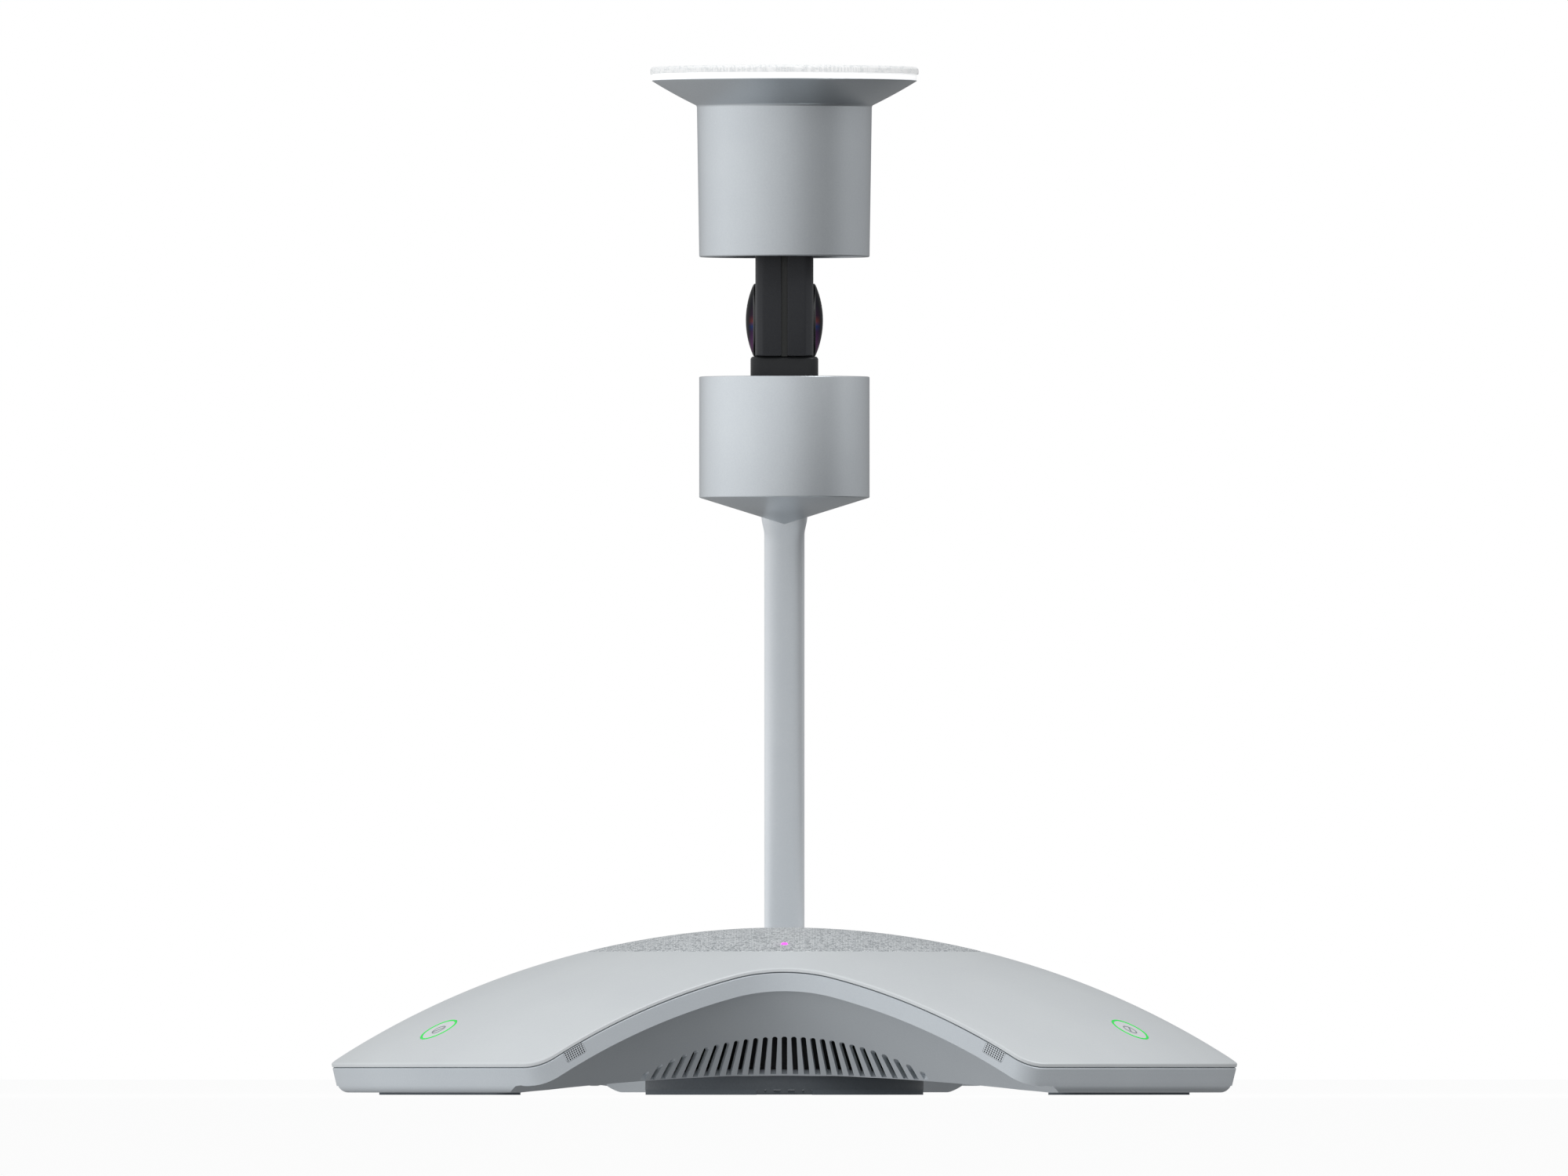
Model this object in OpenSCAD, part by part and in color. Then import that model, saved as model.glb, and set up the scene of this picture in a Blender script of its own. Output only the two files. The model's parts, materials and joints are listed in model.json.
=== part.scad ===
// Conference camera: a two-lens head on an arched neck, over a speaker base with three arms.
// The table is at z = 0, the lenses look along +X and -X, and the neck stands on the arm at +Y.

/* [Base outline] */
// Radius of the circle that the three arm ends lie on
base_r = 177; // [170:1:186]
// Height of the dome's crown above the table
dome_h = 65.2; // [62:0.2:70]
// Radius of the sphere that the dome is cut from
dome_r = 322; // [310:1:334]
// Half the width of an arm
arm_half_w = 82; // [79:0.5:85]
// Radius of the inside corner between two arms
inner_corner_r = 36.7; // [32:0.1:40]
// Radius of the two corners at the end of an arm
tip_corner_r = 12; // [9:0.5:14]
// Draft of the arm's end face, in degrees
end_draft = 14; // [8:1:16]

/* [Base shells] */
// Thickness of the top shell
top_t = 1.5; // [1.3:0.1:1.8]
// Height of the shadow gap between the two shells
seam_h = 0.4; // [0.3:0.05:0.6]
// Wall thickness of the lower shell
wall = 2.4; // [2.2:0.1:2.8]
// Height of the band below the dome, over a cove
band_h = 8.5; // [7.5:0.1:9.5]
// Height of the underside at the middle
sole_h = 7.65; // [7.2:0.05:8.2]
// Radius of the flat middle of the underside
sole_r = 58.8; // [57:0.2:62]
// Height of the underside at the arm ends
sole_low_h = 0.9; // [0.7:0.1:1.2]
// Distance from the arm's end where the underside reaches that height
sole_low_in = 25; // [21:1:31]

/* [Coves and vents] */
// Distance of a cove's axis from the middle of the base
cove_d = 159; // [157:0.5:163]
// Radius of a cove at the height below
cove_r = 61.2; // [59:0.2:62]
// Height at which a cove has that radius
cove_h = 40.7; // [39:0.1:42]
// Lean of a cove's wall from the vertical, in degrees
cove_lean = 50; // [48:0.5:51]
// Vent slots in each cove
slot_count = 29; // [21:2:31]
// Angle from slot to slot about the cove's axis, in degrees
slot_step = 2.5; // [2.2:0.05:2.7]
// Width of a vent slot
slot_w = 2; // [1.6:0.1:2.3]
// Radius of the arch that ends the slots at the top
slot_arch_r = 111.6; // [109:0.2:113]
// Depth of that arch's centre below the table
slot_arch_drop = 89; // [88:0.2:91]
// Height of the slots' lower ends
slot_low_h = 8.4; // [8.2:0.1:9.4]

/* [Speaker] */
// Radius of the cloth on the dome
cloth_r = 77.1; // [74:0.1:79]
// Thickness of the cloth
cloth_t = 0.8; // [0.6:0.1:1]
// Thickness of the grille under the cloth
grille_t = 2.2; // [1.8:0.1:2.6]
// Rings of the grille
grille_rings = 6; // [4:1:8]
// Spokes of the grille
grille_spokes = 6; // [4:1:10]
// Outside radius of the speaker's flange
speaker_r = 50; // [46:0.5:52]
// Height of the top of that flange
speaker_top_h = 51; // [49:0.5:53]
// Radius of the speaker's magnet
magnet_r = 27; // [24:0.5:30]
// Height of that magnet
magnet_h = 11; // [9:0.5:13]
// Outside radius of the sealed box under the speaker
box_r = 54.5; // [53:0.5:56]

/* [Buttons and microphones] */
// Distance of a button from the arm's end
button_in = 22; // [19:0.5:27]
// Outside radius of a button's light ring
button_ring_r = 7.8; // [7:0.1:8.4]
// Width of a light ring
button_ring_w = 1.3; // [1:0.1:1.6]
// Depth of a light ring
button_ring_d = 9; // [8:0.2:10]
// Travel of a button
button_travel = 0.4; // [0.3:0.05:0.5]
// Distance of a microphone grille from the arm's end
mic_in = 36; // [31:0.5:39]
// Length of a microphone grille
mic_l = 9.6; // [9:0.1:11]
// Height of a microphone grille
mic_w = 4.2; // [3.8:0.1:4.4]
// Thickness of a microphone grille
mic_t = 1.1; // [0.9:0.05:1.3]

/* [Feet] */
// Radius of the cover under the middle of the base
plate_r = 54.2; // [52:0.2:56]
// Height of the rubber pads under that cover
pad_h = 2; // [1.6:0.1:2.4]
// Half the gap between the two pads, seen from the front
pad_gap_half = 10.8; // [9:0.1:13]
// Width of the pad ring
pad_w = 10; // [8:0.5:14]
// Length of an arm's foot, across the arm
foot_l = 97; // [90:1:104]
// Width of an arm's foot
foot_w = 11; // [8:0.5:12]
// Distance of a foot from the arm's end
foot_in = 27; // [23:0.5:30]

/* [Neck] */
// Distance behind the middle of the base where the neck leaves the dome
neck_root_y = 90; // [87:0.5:94]
// Lean of the neck at the dome, in degrees from the vertical
neck_root_lean = 20; // [19:0.5:21]
// Lean of the neck at the head, in degrees from the vertical
neck_top_lean = 32; // [31:0.5:33]
// Half the width of the neck
neck_half_w = 7.85; // [7:0.05:8.6]
// Half the depth of the neck
neck_half_d = 5.5; // [5:0.1:6]
// Radius of the neck's narrow sides
neck_side_r = 4; // [3.6:0.1:4.4]
// Wall thickness of the neck
neck_t = 1.6; // [1.2:0.1:1.9]

/* [Head] */
// Radius of the lower cup
cup_r = 33.2; // [32:0.1:34]
// Height of the lower cup's point above the table
cup_tip_h = 222.3; // [220:0.1:224]
// Rise of the cone under the cup, per unit of radius
cup_slope = 0.3125; // [0.28:0.0025:0.34]
// Height of the cup, from its point to its top edge
cup_h = 57.5; // [54:0.5:60]
// Wall thickness of the cup and the hood
head_wall = 2.2; // [1.8:0.1:2.5]
// Open height between the cup and the hood
gap_h = 46.6; // [44:0.2:49]
// Radius of the hood's lower edge
hood_r = 33.2; // [32.8:0.1:34.4]
// Draft of the hood: how far it widens to the flare
hood_draft = 0.9; // [0.4:0.1:1.4]
// Height of the hood below the flare
hood_h = 59; // [57:0.5:64]
// Radius of the flare's upper edge
flare_r = 51.9; // [50:0.1:54]
// Height of the flare
flare_h = 9.8; // [9:0.1:11]
// Height of the light ring
ring_h = 2.5; // [2:0.1:3]
// Height of the cloth-covered cap
cap_h = 2.7; // [2.4:0.1:3.2]
// How far the cap stands out past the flare
cap_out = 0.4; // [0.2:0.1:0.6]

/* [Camera] */
// Half the thickness of the camera housing, along the lenses
cam_half_t = 11.3; // [10.8:0.1:12]
// Half the width of the camera housing
cam_half_w = 21.5; // [20:0.1:22]
// Radius of the housing's upright edges
cam_edge_r = 4; // [2:0.2:5]
// How far the housing reaches up into the hood
cam_into_hood = 20; // [18:0.5:22]
// Half the width of the guide groove up the housing
groove_half_w = 1.2; // [1:0.1:1.5]
// Depth of that groove
groove_d = 1.2; // [1:0.1:1.6]
// Height of the lens axis above the cup
lens_up = 22; // [21:0.1:23]
// Radius of a lens bezel
lens_r = 14.2; // [13.4:0.1:14.6]
// How far a bezel stands out of the housing
bezel_out = 0.9; // [0.6:0.1:1.2]
// How far a glass dome stands out of its bezel
lens_out = 2.85; // [2.4:0.05:3.2]
// Half the thickness of the block under the housing
block_half_t = 13.2; // [12.6:0.1:13.8]
// Height of that block
block_h = 7.7; // [7:0.1:7.8]

/* [Hidden] */
$fn = 96;
// Overrun of every cut, so that no face is left on a face
over = 1;
// Clearance of parts that only lie in each other
slack = 0.1;
// Thickness of every circuit board
board_t = 1.2;
// Directions of the three arms, the first one under the neck, in degrees
arm_turns = [90, 210, 330];
part_turn = 120;

// Base outline, worked out
// How far the plan's arcs lie outside the drafted ends, which cut them
plan_over = 0.6;
// How far a tip's arc swells past the arm's side, so that the two cross rather than touch
corner_lap = 0.1;
ball_z = dome_h - dome_r;
button_s = base_r - button_in;
mic_s = base_r - mic_in;
foot_s = base_r - foot_in;
sole_low_r = base_r - sole_low_in;
cup_top_h = cup_tip_h + cup_h;
plan_r = base_r + plan_over;
corner_out = plan_r - tip_corner_r;
corner_side = arm_half_w - tip_corner_r;
corner_s = sqrt(corner_out * corner_out - corner_side * corner_side);
inner_centre_s = (arm_half_w + inner_corner_r) / sin(part_turn / 2);
front_edge = sin(part_turn / 4) * corner_s + cos(part_turn / 4) * corner_side + tip_corner_r;
middle_y = (base_r - front_edge) / 2;
rim_h = dome_z(base_r);
toe_h = 1.7;
toe_in = 3;
floor_h = sole_h + wall;

// Screws and bosses that join the two shells
screw_in = 27;
screw_s = base_r - screw_in;
screw_side = 36;
screw_r = 1.5;
screw_head_r = 2.8;
screw_head_h = 1.4;
screw_sink = 0.5;
screw_seat_h = sole_low_h + screw_head_h + screw_sink;
boss_r = 3.6;
boss_split_h = 12;
screw_top_h = 20;

// Ledge round the grille, and the status light in the cloth
collar_t = 1.6;
ledge_w = 3.4;
ledge_t = 1.8;
grille_rib_w = 2.2;
grille_hub_r = 3.5;
status_r = 0.9;
status_out = 0.15;
status_y = 65;

// Speaker, worked out
flange_t = 1.6;
basket_h = 19;
cone_t = 0.8;
surround_r = 2.6;
box_t = 2.2;
box_top_h = speaker_top_h - flange_t;
hole_r = speaker_r - 4;
cone_r = hole_r - 2 * surround_r;
cone_low_h = speaker_top_h - basket_h + 2 * flange_t;
dust_cap_r = 13;

// Boards and sockets in the back arm
main_l = 34;
main_w = 60;
main_in = 24;
main_s = base_r - main_in;
main_h = 4.6;
socket_back = 4;
main_far_s = main_s + main_l / 2 - socket_back;
chip_back = 8;
chip_s = main_s - chip_back;
chip_h = 1.6;
chip_w = 16;
spreader_h = 4;
spreader_fins = 9;
socket_room = 0.35;
socket_t = 0.35;
usb_w = 9;
usb_h = 3.2;
usb_l = 8;
usb_side = 12;
usb_axis_h = main_h + board_t + usb_h / 2;
power_r = 1.9;
power_l = 6;
power_side = -12;
power_axis_h = main_h + board_t + power_r;
power_pin_r = 0.7;

// Middle of the underside
plate_ribs = 6;
nub_h = 1.36;
nub_w = 2.9;
nub_shares = [-0.85, -0.52, 0, 0.5, 0.85];

// Buttons, worked out
button_tilt = asin(button_s / dome_r);
button_r = button_ring_r - button_ring_w - slack;
button_t = 1.8;
ring_proud = 0.15;
stem_r = 1.6;
switch_w = 6;
switch_h = 3.6;
post_side = 11;
post_r = 1.5;
button_board_w = 26;
button_board_l = 17;

// Microphones, worked out
mic_down = 4.4;
mic_top_r = sqrt(mic_s * mic_s + arm_half_w * arm_half_w);
mic_z = dome_z(mic_top_r) - mic_down;
mic_slope = atan(mic_s / sqrt(dome_r * dome_r - mic_top_r * mic_top_r));
mic_corner_r = 0.8;
mic_hole_r = 1;
mic_board_w = 9;
mic_board_h = 2.4;
mic_gap_w = 0.5;
mic_slot_shares = [-0.4, -0.3, -0.2, -0.1, 0, 0.1, 0.2, 0.3, 0.4];

// Neck, worked out
neck_cover = 2;
neck_root_z = dome_z(neck_root_y);
neck_bend_r = (cup_tip_h + neck_cover - neck_root_z) / (sin(neck_top_lean) - sin(neck_root_lean));
neck_axis_y = neck_root_y - neck_bend_r * cos(neck_root_lean);
neck_axis_z = neck_root_z - neck_bend_r * sin(neck_root_lean);
neck_foot_top = 26;
neck_foot_w = 26;
neck_foot_d = 24;
neck_foot_y = 103;
neck_low_h = floor_h;
neck_into_cup = 14;
neck_end_h = cup_tip_h + neck_into_cup;
cable_r = 2;

// Head, worked out
cup_edge_h = cup_tip_h + cup_slope * cup_r;
cup_in_r = cup_r - head_wall;
lid_t = 2;
lid_down = 0.4;
lid_low_h = cup_top_h - lid_down - lid_t;
cup_seat_w = 1.6;
cup_post_x = 20;
camera_board_down = 17.8;
camera_board_h = cup_top_h - camera_board_down;
lens_h = cup_top_h + lens_up;
hood_low_h = cup_top_h + gap_h;
hood_top_r = hood_r + hood_draft;
hood_top_h = hood_low_h + hood_h;
flare_top_h = hood_top_h + flare_h;
flare_steps = 8;
flare_start_share = 0.87;
ring_top_h = flare_top_h + ring_h;
ring_in = 0.3;
light_in_r = 40;
led_h = 0.8;
led_w = 3;
led_count = 12;
top_board_r = 43;
top_board_in_r = 33;

// Camera, worked out
block_top_h = cup_top_h + block_h;
block_half_w = cam_half_w - groove_d - 3 * slack;
cam_top_h = hood_low_h + cam_into_hood;
barrel_r = 12;
barrel_t = 1;
barrel_in = 4;
bezel_w = 0.5;
glass_r = lens_r - bezel_w;
glass_ball_r = (glass_r * glass_r + lens_out * lens_out) / (2 * lens_out);
sensor_t = 1.6;
sensor_w = 15;
guide_up = 1.6;
guide_h = 10;
guide_in_r = hood_r - head_wall - 3.4;

// Height of the dome at a distance from its middle
function dome_z(r) = ball_z + sqrt(dome_r * dome_r - r * r);

// Moves the base's middle so that the whole part's box is centred on the origin
module placed() translate([0, -middle_y, 0]) children();

// One child for each arm
module arms() for (turn = arm_turns) rotate([0, 0, turn]) children();

// One child for each space between two arms
module spaces() for (turn = arm_turns) rotate([0, 0, turn + part_turn / 2]) children();

// The sphere of the dome, set in by a depth
module ball(depth) translate([0, 0, ball_z]) sphere(r = dome_r - depth, $fn = 360);

// A place on the dome, on an arm, with z along the dome's normal
module on_dome(turn, tilt) {
    rotate([0, 0, turn]) translate([0, 0, ball_z]) rotate([0, tilt, 0]) translate([0, 0, dome_r])
        children();
}

// The space between two arms, seen from above, widened by an inset of the base's edge
module bite_plan(inset) {
    inner = inner_corner_r + inset;
    touch_s = inner_centre_s - inner * sin(part_turn / 2);
    touch_side = inner * cos(part_turn / 2);
    far = 2 * base_r;
    far_s = touch_s + far * cos(part_turn / 2);
    far_side = touch_side + far * sin(part_turn / 2);
    union() {
        translate([inner_centre_s, 0]) circle(r = inner);
        polygon([
            [touch_s, -touch_side], [inner_centre_s, 0], [touch_s, touch_side],
            [far_s, far_side], [far_s, -far_side]
        ]);
    }
}

// What rounds one corner of an arm's end, seen from above
module tip_plan(inset) {
    tip = tip_corner_r - inset;
    centre = [corner_s, corner_side + corner_lap];
    difference() {
        polygon([
            centre, centre + [0, tip], centre + [4 * tip, 4 * tip], centre + centre * tip / corner_out
        ]);
        translate(centre) circle(r = tip);
    }
}

// Cuts the plan of the base, with its edge set in by an inset, out of what it is given
module trimmed(inset) {
    depth = dome_h + 3 * over;
    difference() {
        children();
        spaces() translate([0, 0, -over]) linear_extrude(depth) bite_plan(inset);
        arms() for (m = [0, 1]) mirror([0, m, 0]) translate([0, 0, -over])
            linear_extrude(depth) tip_plan(inset);
    }
}

// The cone of one cove, set off from its wall by a distance along the wall's normal
module cove(offset) {
    shift = offset / cos(cove_lean);
    spread = tan(cove_lean);
    low = cove_r + shift + spread * (cove_h + over);
    translate([cove_d, 0, -over]) cylinder(r1 = low, r2 = 0, h = low / spread, $fn = 180);
}

// The three coves, cut up to the band
module coves(offset) {
    intersection() {
        spaces() cove(offset);
        ball(band_h - offset);
    }
}

// Everything below the underside, set up by a height
module under(up) {
    far = 2 * base_r;
    rotate_extrude($fn = 180) polygon([
        [0, -over], [0, sole_h + up], [sole_r, sole_h + up], [sole_low_r, sole_low_h + up],
        [far, sole_low_h + up], [far, -over]
    ]);
}

// The drafted arm ends with their toe, set in by a depth
module ends(inset) {
    fall = tan(end_draft);
    toe_top = sole_low_h + toe_h;
    top = dome_h + over;
    toe_r = base_r - inset - fall * (rim_h - toe_top);
    rotate_extrude($fn = 240) polygon([
        [0, sole_low_h], [toe_r - toe_in, sole_low_h], [toe_r, toe_top],
        [base_r - inset + fall * (top - rim_h), top], [0, top]
    ]);
}

// The fans of slots in the coves, cut off at the top by an arch
module fans() {
    far = cove_r + tan(cove_lean) * (cove_h - slot_low_h) + (wall + over) / cos(cove_lean);
    spaces() intersection() {
        for (i = [0 : slot_count - 1])
            translate([cove_d, 0, slot_low_h]) rotate([0, 0, slot_step * (i - (slot_count - 1) / 2)])
                translate([-far, -slot_w / 2, 0]) cube([far - cove_r, slot_w, cove_h]);
        translate([0, 0, -slot_arch_drop]) rotate([0, 90, 0])
            cylinder(r = slot_arch_r, h = cove_d, $fn = 240);
    }
}

// A place on an arm's side wall, with x along the dome's slope and z out of the wall
module at_mic(turn, side) {
    rotate([0, 0, turn]) translate([mic_s, side * arm_half_w, mic_z]) rotate([0, mic_slope, 0])
        rotate([-side * 90, 0, 0]) children();
}

// Rounded rectangle about the origin
module rounded(size, r) {
    for (x = [-1, 1], y = [-1, 1])
        translate([x * (size[0] / 2 - r), y * (size[1] / 2 - r)]) circle(r = r);
    square([size[0], size[1] - 2 * r], center = true);
    square([size[0] - 2 * r, size[1]], center = true);
}

// Screw bosses of the lower shell, and the holes for their screws
module boss_places() {
    for (turn = arm_turns, m = [-1, 1]) rotate([0, 0, turn]) translate([screw_s, m * screw_side, 0])
        children();
}

// What the mouths of the two sockets and their surrounds need in the back wall
module socket_mouths(grow) rotate([0, 0, arm_turns[0]]) {
    translate([main_far_s + usb_l / 2, usb_side, usb_axis_h]) rotate([0, 90, 0])
        linear_extrude(base_r) rounded([usb_h + 2 * grow, usb_w + 2 * grow], usb_h / 2);
    translate([main_far_s + usb_l / 2, power_side, power_axis_h]) rotate([0, 90, 0])
        cylinder(r = power_r + grow, h = base_r);
}

// The room inside the lower shell, round its bosses and posts and over its floor and coves
module lower_room() difference() {
    trimmed(wall) ends(wall);
    under(wall);
    coves(wall);
    boss_places() cylinder(r = boss_r, h = boss_split_h);
    board_posts() cylinder(r = boss_r, h = main_h);
}

module lower_shell() color("silver") placed() difference() {
    trimmed(0) difference() {
        intersection() {
            ends(0);
            ball(top_t + seam_h);
        }
        under(0);
        coves(0);
    }
    lower_room();
    fans();
    boss_places() screw_hole();
    for (turn = arm_turns, side = [-1, 1]) at_mic(turn, side) mic_pocket();
    socket_mouths(socket_room);
}

module top_shell() color("gainsboro") placed() difference() {
    union() {
        trimmed(0) difference() {
            intersection() {
                ends(0);
                ball(0);
            }
            ball(top_t);
        }
        difference() {
            intersection() {
                cylinder(r = cloth_r + slack + collar_t, h = dome_h + over);
                ball(top_t / 2);
            }
            ball(cloth_t + grille_t + ledge_t);
        }
        intersection() {
            union() {
                boss_places() translate([0, 0, boss_split_h]) cylinder(r = boss_r, h = dome_h);
                for (turn = arm_turns) on_dome(turn, button_tilt) button_posts();
            }
            ball(top_t / 2);
        }
    }
    difference() {
        cylinder(r = cloth_r + slack, h = dome_h + over);
        ball(cloth_t + grille_t);
    }
    cylinder(r = cloth_r + slack - ledge_w, h = dome_h + over);
    for (turn = arm_turns) on_dome(turn, button_tilt) translate([0, 0, -button_ring_d])
        cylinder(r = button_ring_r + slack, h = button_ring_d + over);
    boss_places() cylinder(r = screw_r + slack / 2, h = screw_top_h);
    neck_arc(neck_half_w + slack, neck_half_d + slack, neck_side_r + slack,
        neck_root_lean - 1, neck_root_lean + 1);
}

// Two posts that carry a button's board
module button_posts() for (m = [-1, 1]) translate([0, m * post_side, -button_ring_d])
    cylinder(r = post_r, h = button_ring_d);

module speaker_grille() color("dimgray") placed() intersection() {
    difference() {
        ball(cloth_t + slack);
        ball(cloth_t + grille_t);
    }
    union() {
        for (i = [1 : grille_rings]) difference() {
            r = cloth_r * i / grille_rings;
            cylinder(r = r, h = dome_h);
            translate([0, 0, -over]) cylinder(r = r - grille_rib_w, h = dome_h + 2 * over);
        }
        for (i = [0 : grille_spokes - 1]) rotate([0, 0, 360 * i / grille_spokes])
            translate([0, -grille_rib_w / 2, 0]) cube([cloth_r - grille_rib_w / 2, grille_rib_w, dome_h]);
        cylinder(r = grille_hub_r, h = dome_h);
    }
}

module speaker_cloth() color("gainsboro") placed() difference() {
    intersection() {
        ball(0);
        cylinder(r = cloth_r, h = dome_h + over);
    }
    ball(cloth_t);
    translate([0, -status_y, 0]) cylinder(r = status_r + slack, h = dome_h + over);
}

module status_light() color("magenta") placed() translate([0, -status_y, 0]) difference() {
    cylinder(r = status_r, h = dome_z(status_y) + status_out);
    cylinder(r = status_r + over, h = dome_z(status_y) - cloth_t);
}

module speaker_frame() color("dimgray") placed() difference() {
    rotate_extrude() polygon([
        [magnet_r, speaker_top_h - basket_h], [magnet_r, speaker_top_h - basket_h + flange_t],
        [hole_r - flange_t, box_top_h], [hole_r - flange_t, speaker_top_h],
        [speaker_r, speaker_top_h], [speaker_r, box_top_h], [hole_r, box_top_h],
        [magnet_r + flange_t, speaker_top_h - basket_h]
    ]);
    speaker_screw_places() translate([0, 0, box_top_h - over])
        cylinder(r = screw_r + slack / 2, h = flange_t + 2 * over);
}

module speaker_cone() color("black") placed() rotate_extrude() union() {
    polygon([
        [0, cone_low_h], [dust_cap_r, cone_low_h], [cone_r, speaker_top_h - cone_t],
        [cone_r, speaker_top_h], [dust_cap_r, cone_low_h + cone_t], [0, cone_low_h + cone_t]
    ]);
    translate([cone_r + surround_r - cone_t, speaker_top_h]) difference() {
        circle(r = surround_r);
        circle(r = surround_r - cone_t);
        translate([-surround_r - over, -surround_r - over])
            square([2 * (surround_r + over), surround_r + over]);
    }
    intersection() {
        translate([0, cone_low_h + cone_t - dust_cap_r / 2]) difference() {
            circle(r = dust_cap_r);
            circle(r = dust_cap_r - cone_t);
        }
        translate([0, cone_low_h]) square(dust_cap_r);
    }
}

module speaker_magnet() color("gray") placed() translate([0, 0, speaker_top_h - basket_h - magnet_h])
    rotate_extrude() difference() {
        square([magnet_r + flange_t, magnet_h]);
        translate([0, -over]) square([magnet_r / 3, magnet_h / 2 + over]);
    }

module speaker_box() color("dimgray") placed() difference() {
    translate([0, 0, floor_h]) cylinder(r = box_r, h = box_top_h - floor_h);
    translate([0, 0, floor_h + box_t]) cylinder(r = box_r - box_t, h = box_top_h - floor_h - 2 * box_t);
    cylinder(r = hole_r + slack, h = dome_h);
    speaker_screw_places() translate([0, 0, box_top_h - 2 * box_t]) cylinder(r = screw_r, h = dome_h);
}

// The four screws of the speaker
module speaker_screw_places() for (i = [0 : 3]) rotate([0, 0, 45 + 90 * i])
    translate([(hole_r + speaker_r) / 2, 0, 0]) children();

module speaker_screws() color("dimgray") placed() speaker_screw_places() {
    translate([0, 0, speaker_top_h]) cylinder(r = screw_head_r / 1.4, h = screw_head_h / 2);
    translate([0, 0, box_top_h - box_t]) cylinder(r = screw_r - slack, h = flange_t + box_t);
}

// Posts under the corners of the main board
module board_posts() rotate([0, 0, arm_turns[0]]) for (x = [-1, 1], y = [-1, 1])
    translate([main_s + x * (main_l / 2 - boss_r), y * (main_w / 2 - boss_r), 0]) children();

module main_board() color("darkgreen") placed() rotate([0, 0, arm_turns[0]]) {
    translate([main_s - main_l / 2, -main_w / 2, main_h]) cube([main_l, main_w, board_t]);
    translate([chip_s - chip_w / 2, -chip_w / 2, main_h + board_t]) cube([chip_w, chip_w, chip_h]);
}

module heat_spreader() color("silver") placed() rotate([0, 0, arm_turns[0]])
    translate([chip_s, 0, main_h + board_t + chip_h]) {
        translate([-chip_w / 2, -chip_w / 2, 0]) cube([chip_w, chip_w, board_t]);
        for (i = [0 : spreader_fins - 1])
            translate([-chip_w / 2, -chip_w / 2 + i * (chip_w - board_t / 2) / (spreader_fins - 1), board_t])
                cube([chip_w, board_t / 2, spreader_h]);
    }

module usb_socket() color("silver") placed() rotate([0, 0, arm_turns[0]])
    translate([main_far_s, usb_side, usb_axis_h]) rotate([0, 90, 0]) {
        difference() {
            linear_extrude(usb_l) rounded([usb_h, usb_w], usb_h / 2 - slack);
            translate([0, 0, usb_l / 4]) linear_extrude(usb_l)
                rounded([usb_h - 2 * socket_t, usb_w - 2 * socket_t], usb_h / 2 - socket_t - slack);
        }
        translate([-socket_t, -usb_w / 3, 0]) cube([2 * socket_t, 2 * usb_w / 3, usb_l - 1.5 * socket_t]);
    }

module power_socket() color("black") placed() rotate([0, 0, arm_turns[0]])
    translate([main_far_s, power_side, main_h + board_t]) {
        difference() {
            translate([0, -power_r - socket_t, 0])
                cube([power_l, 2 * (power_r + socket_t), 2 * power_r + socket_t]);
            translate([power_l / 4, 0, power_r]) rotate([0, 90, 0])
                cylinder(r = power_r - socket_t, h = power_l);
        }
        translate([0, 0, power_r]) rotate([0, 90, 0]) cylinder(r = power_pin_r, h = power_l - 2 * socket_t);
    }

module bottom_plate() color("dimgray") placed() {
    difference() {
        translate([0, 0, pad_h]) cylinder(r = plate_r, h = sole_h - pad_h);
        translate([0, 0, pad_h + wall]) cylinder(r = plate_r - wall, h = sole_h);
    }
    for (i = [0 : plate_ribs - 1]) rotate([0, 0, 360 * i / plate_ribs])
        translate([sole_r / 4, -wall / 2, pad_h])
            cube([plate_r - sole_r / 4 - wall / 2, wall, sole_h - pad_h]);
    intersection() {
        translate([0, 0, pad_h - nub_h]) cylinder(r = plate_r, h = nub_h + wall / 2);
        for (x = nub_shares * pad_gap_half)
            translate([x - nub_w / 2, -plate_r, 0]) cube([nub_w, pad_w / 2, sole_h]);
    }
}

module centre_pads() color("black") placed() difference() {
    cylinder(r = plate_r - slack, h = pad_h);
    translate([0, 0, -over]) cylinder(r = plate_r - pad_w, h = pad_h + 2 * over);
    translate([-pad_gap_half, -base_r, -over]) cube([2 * pad_gap_half, 2 * base_r, pad_h + 2 * over]);
}

module arm_foot(turn) color("black") placed() intersection() {
    rotate([0, 0, turn]) translate([foot_s, 0, 0]) linear_extrude(sole_h)
        rounded([foot_w, foot_l], foot_w / 3);
    difference() {
        under(0);
        translate([-2 * base_r, -2 * base_r, -2 * over]) cube([4 * base_r, 4 * base_r, 2 * over]);
    }
}

module arm_foot_1() arm_foot(arm_turns[0]);
module arm_foot_2() arm_foot(arm_turns[1]);
module arm_foot_3() arm_foot(arm_turns[2]);

module button(turn) color("whitesmoke") placed() on_dome(turn, button_tilt) {
    translate([0, 0, -button_t]) cylinder(r = button_r, h = button_t);
    translate([0, 0, switch_h + button_travel + slack / 2 - button_ring_d])
        cylinder(r = stem_r, h = button_ring_d - switch_h - button_travel - button_t);
}

module button_1() button(arm_turns[0]);
module button_2() button(arm_turns[1]);
module button_3() button(arm_turns[2]);

module button_ring(turn) color("lime") placed() on_dome(turn, button_tilt)
    translate([0, 0, -button_ring_d]) difference() {
        cylinder(r = button_ring_r, h = button_ring_d + ring_proud);
        translate([0, 0, -over]) cylinder(r = button_ring_r - button_ring_w, h = button_ring_d + 2 * over);
    }

module button_ring_1() button_ring(arm_turns[0]);
module button_ring_2() button_ring(arm_turns[1]);
module button_ring_3() button_ring(arm_turns[2]);

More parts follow.
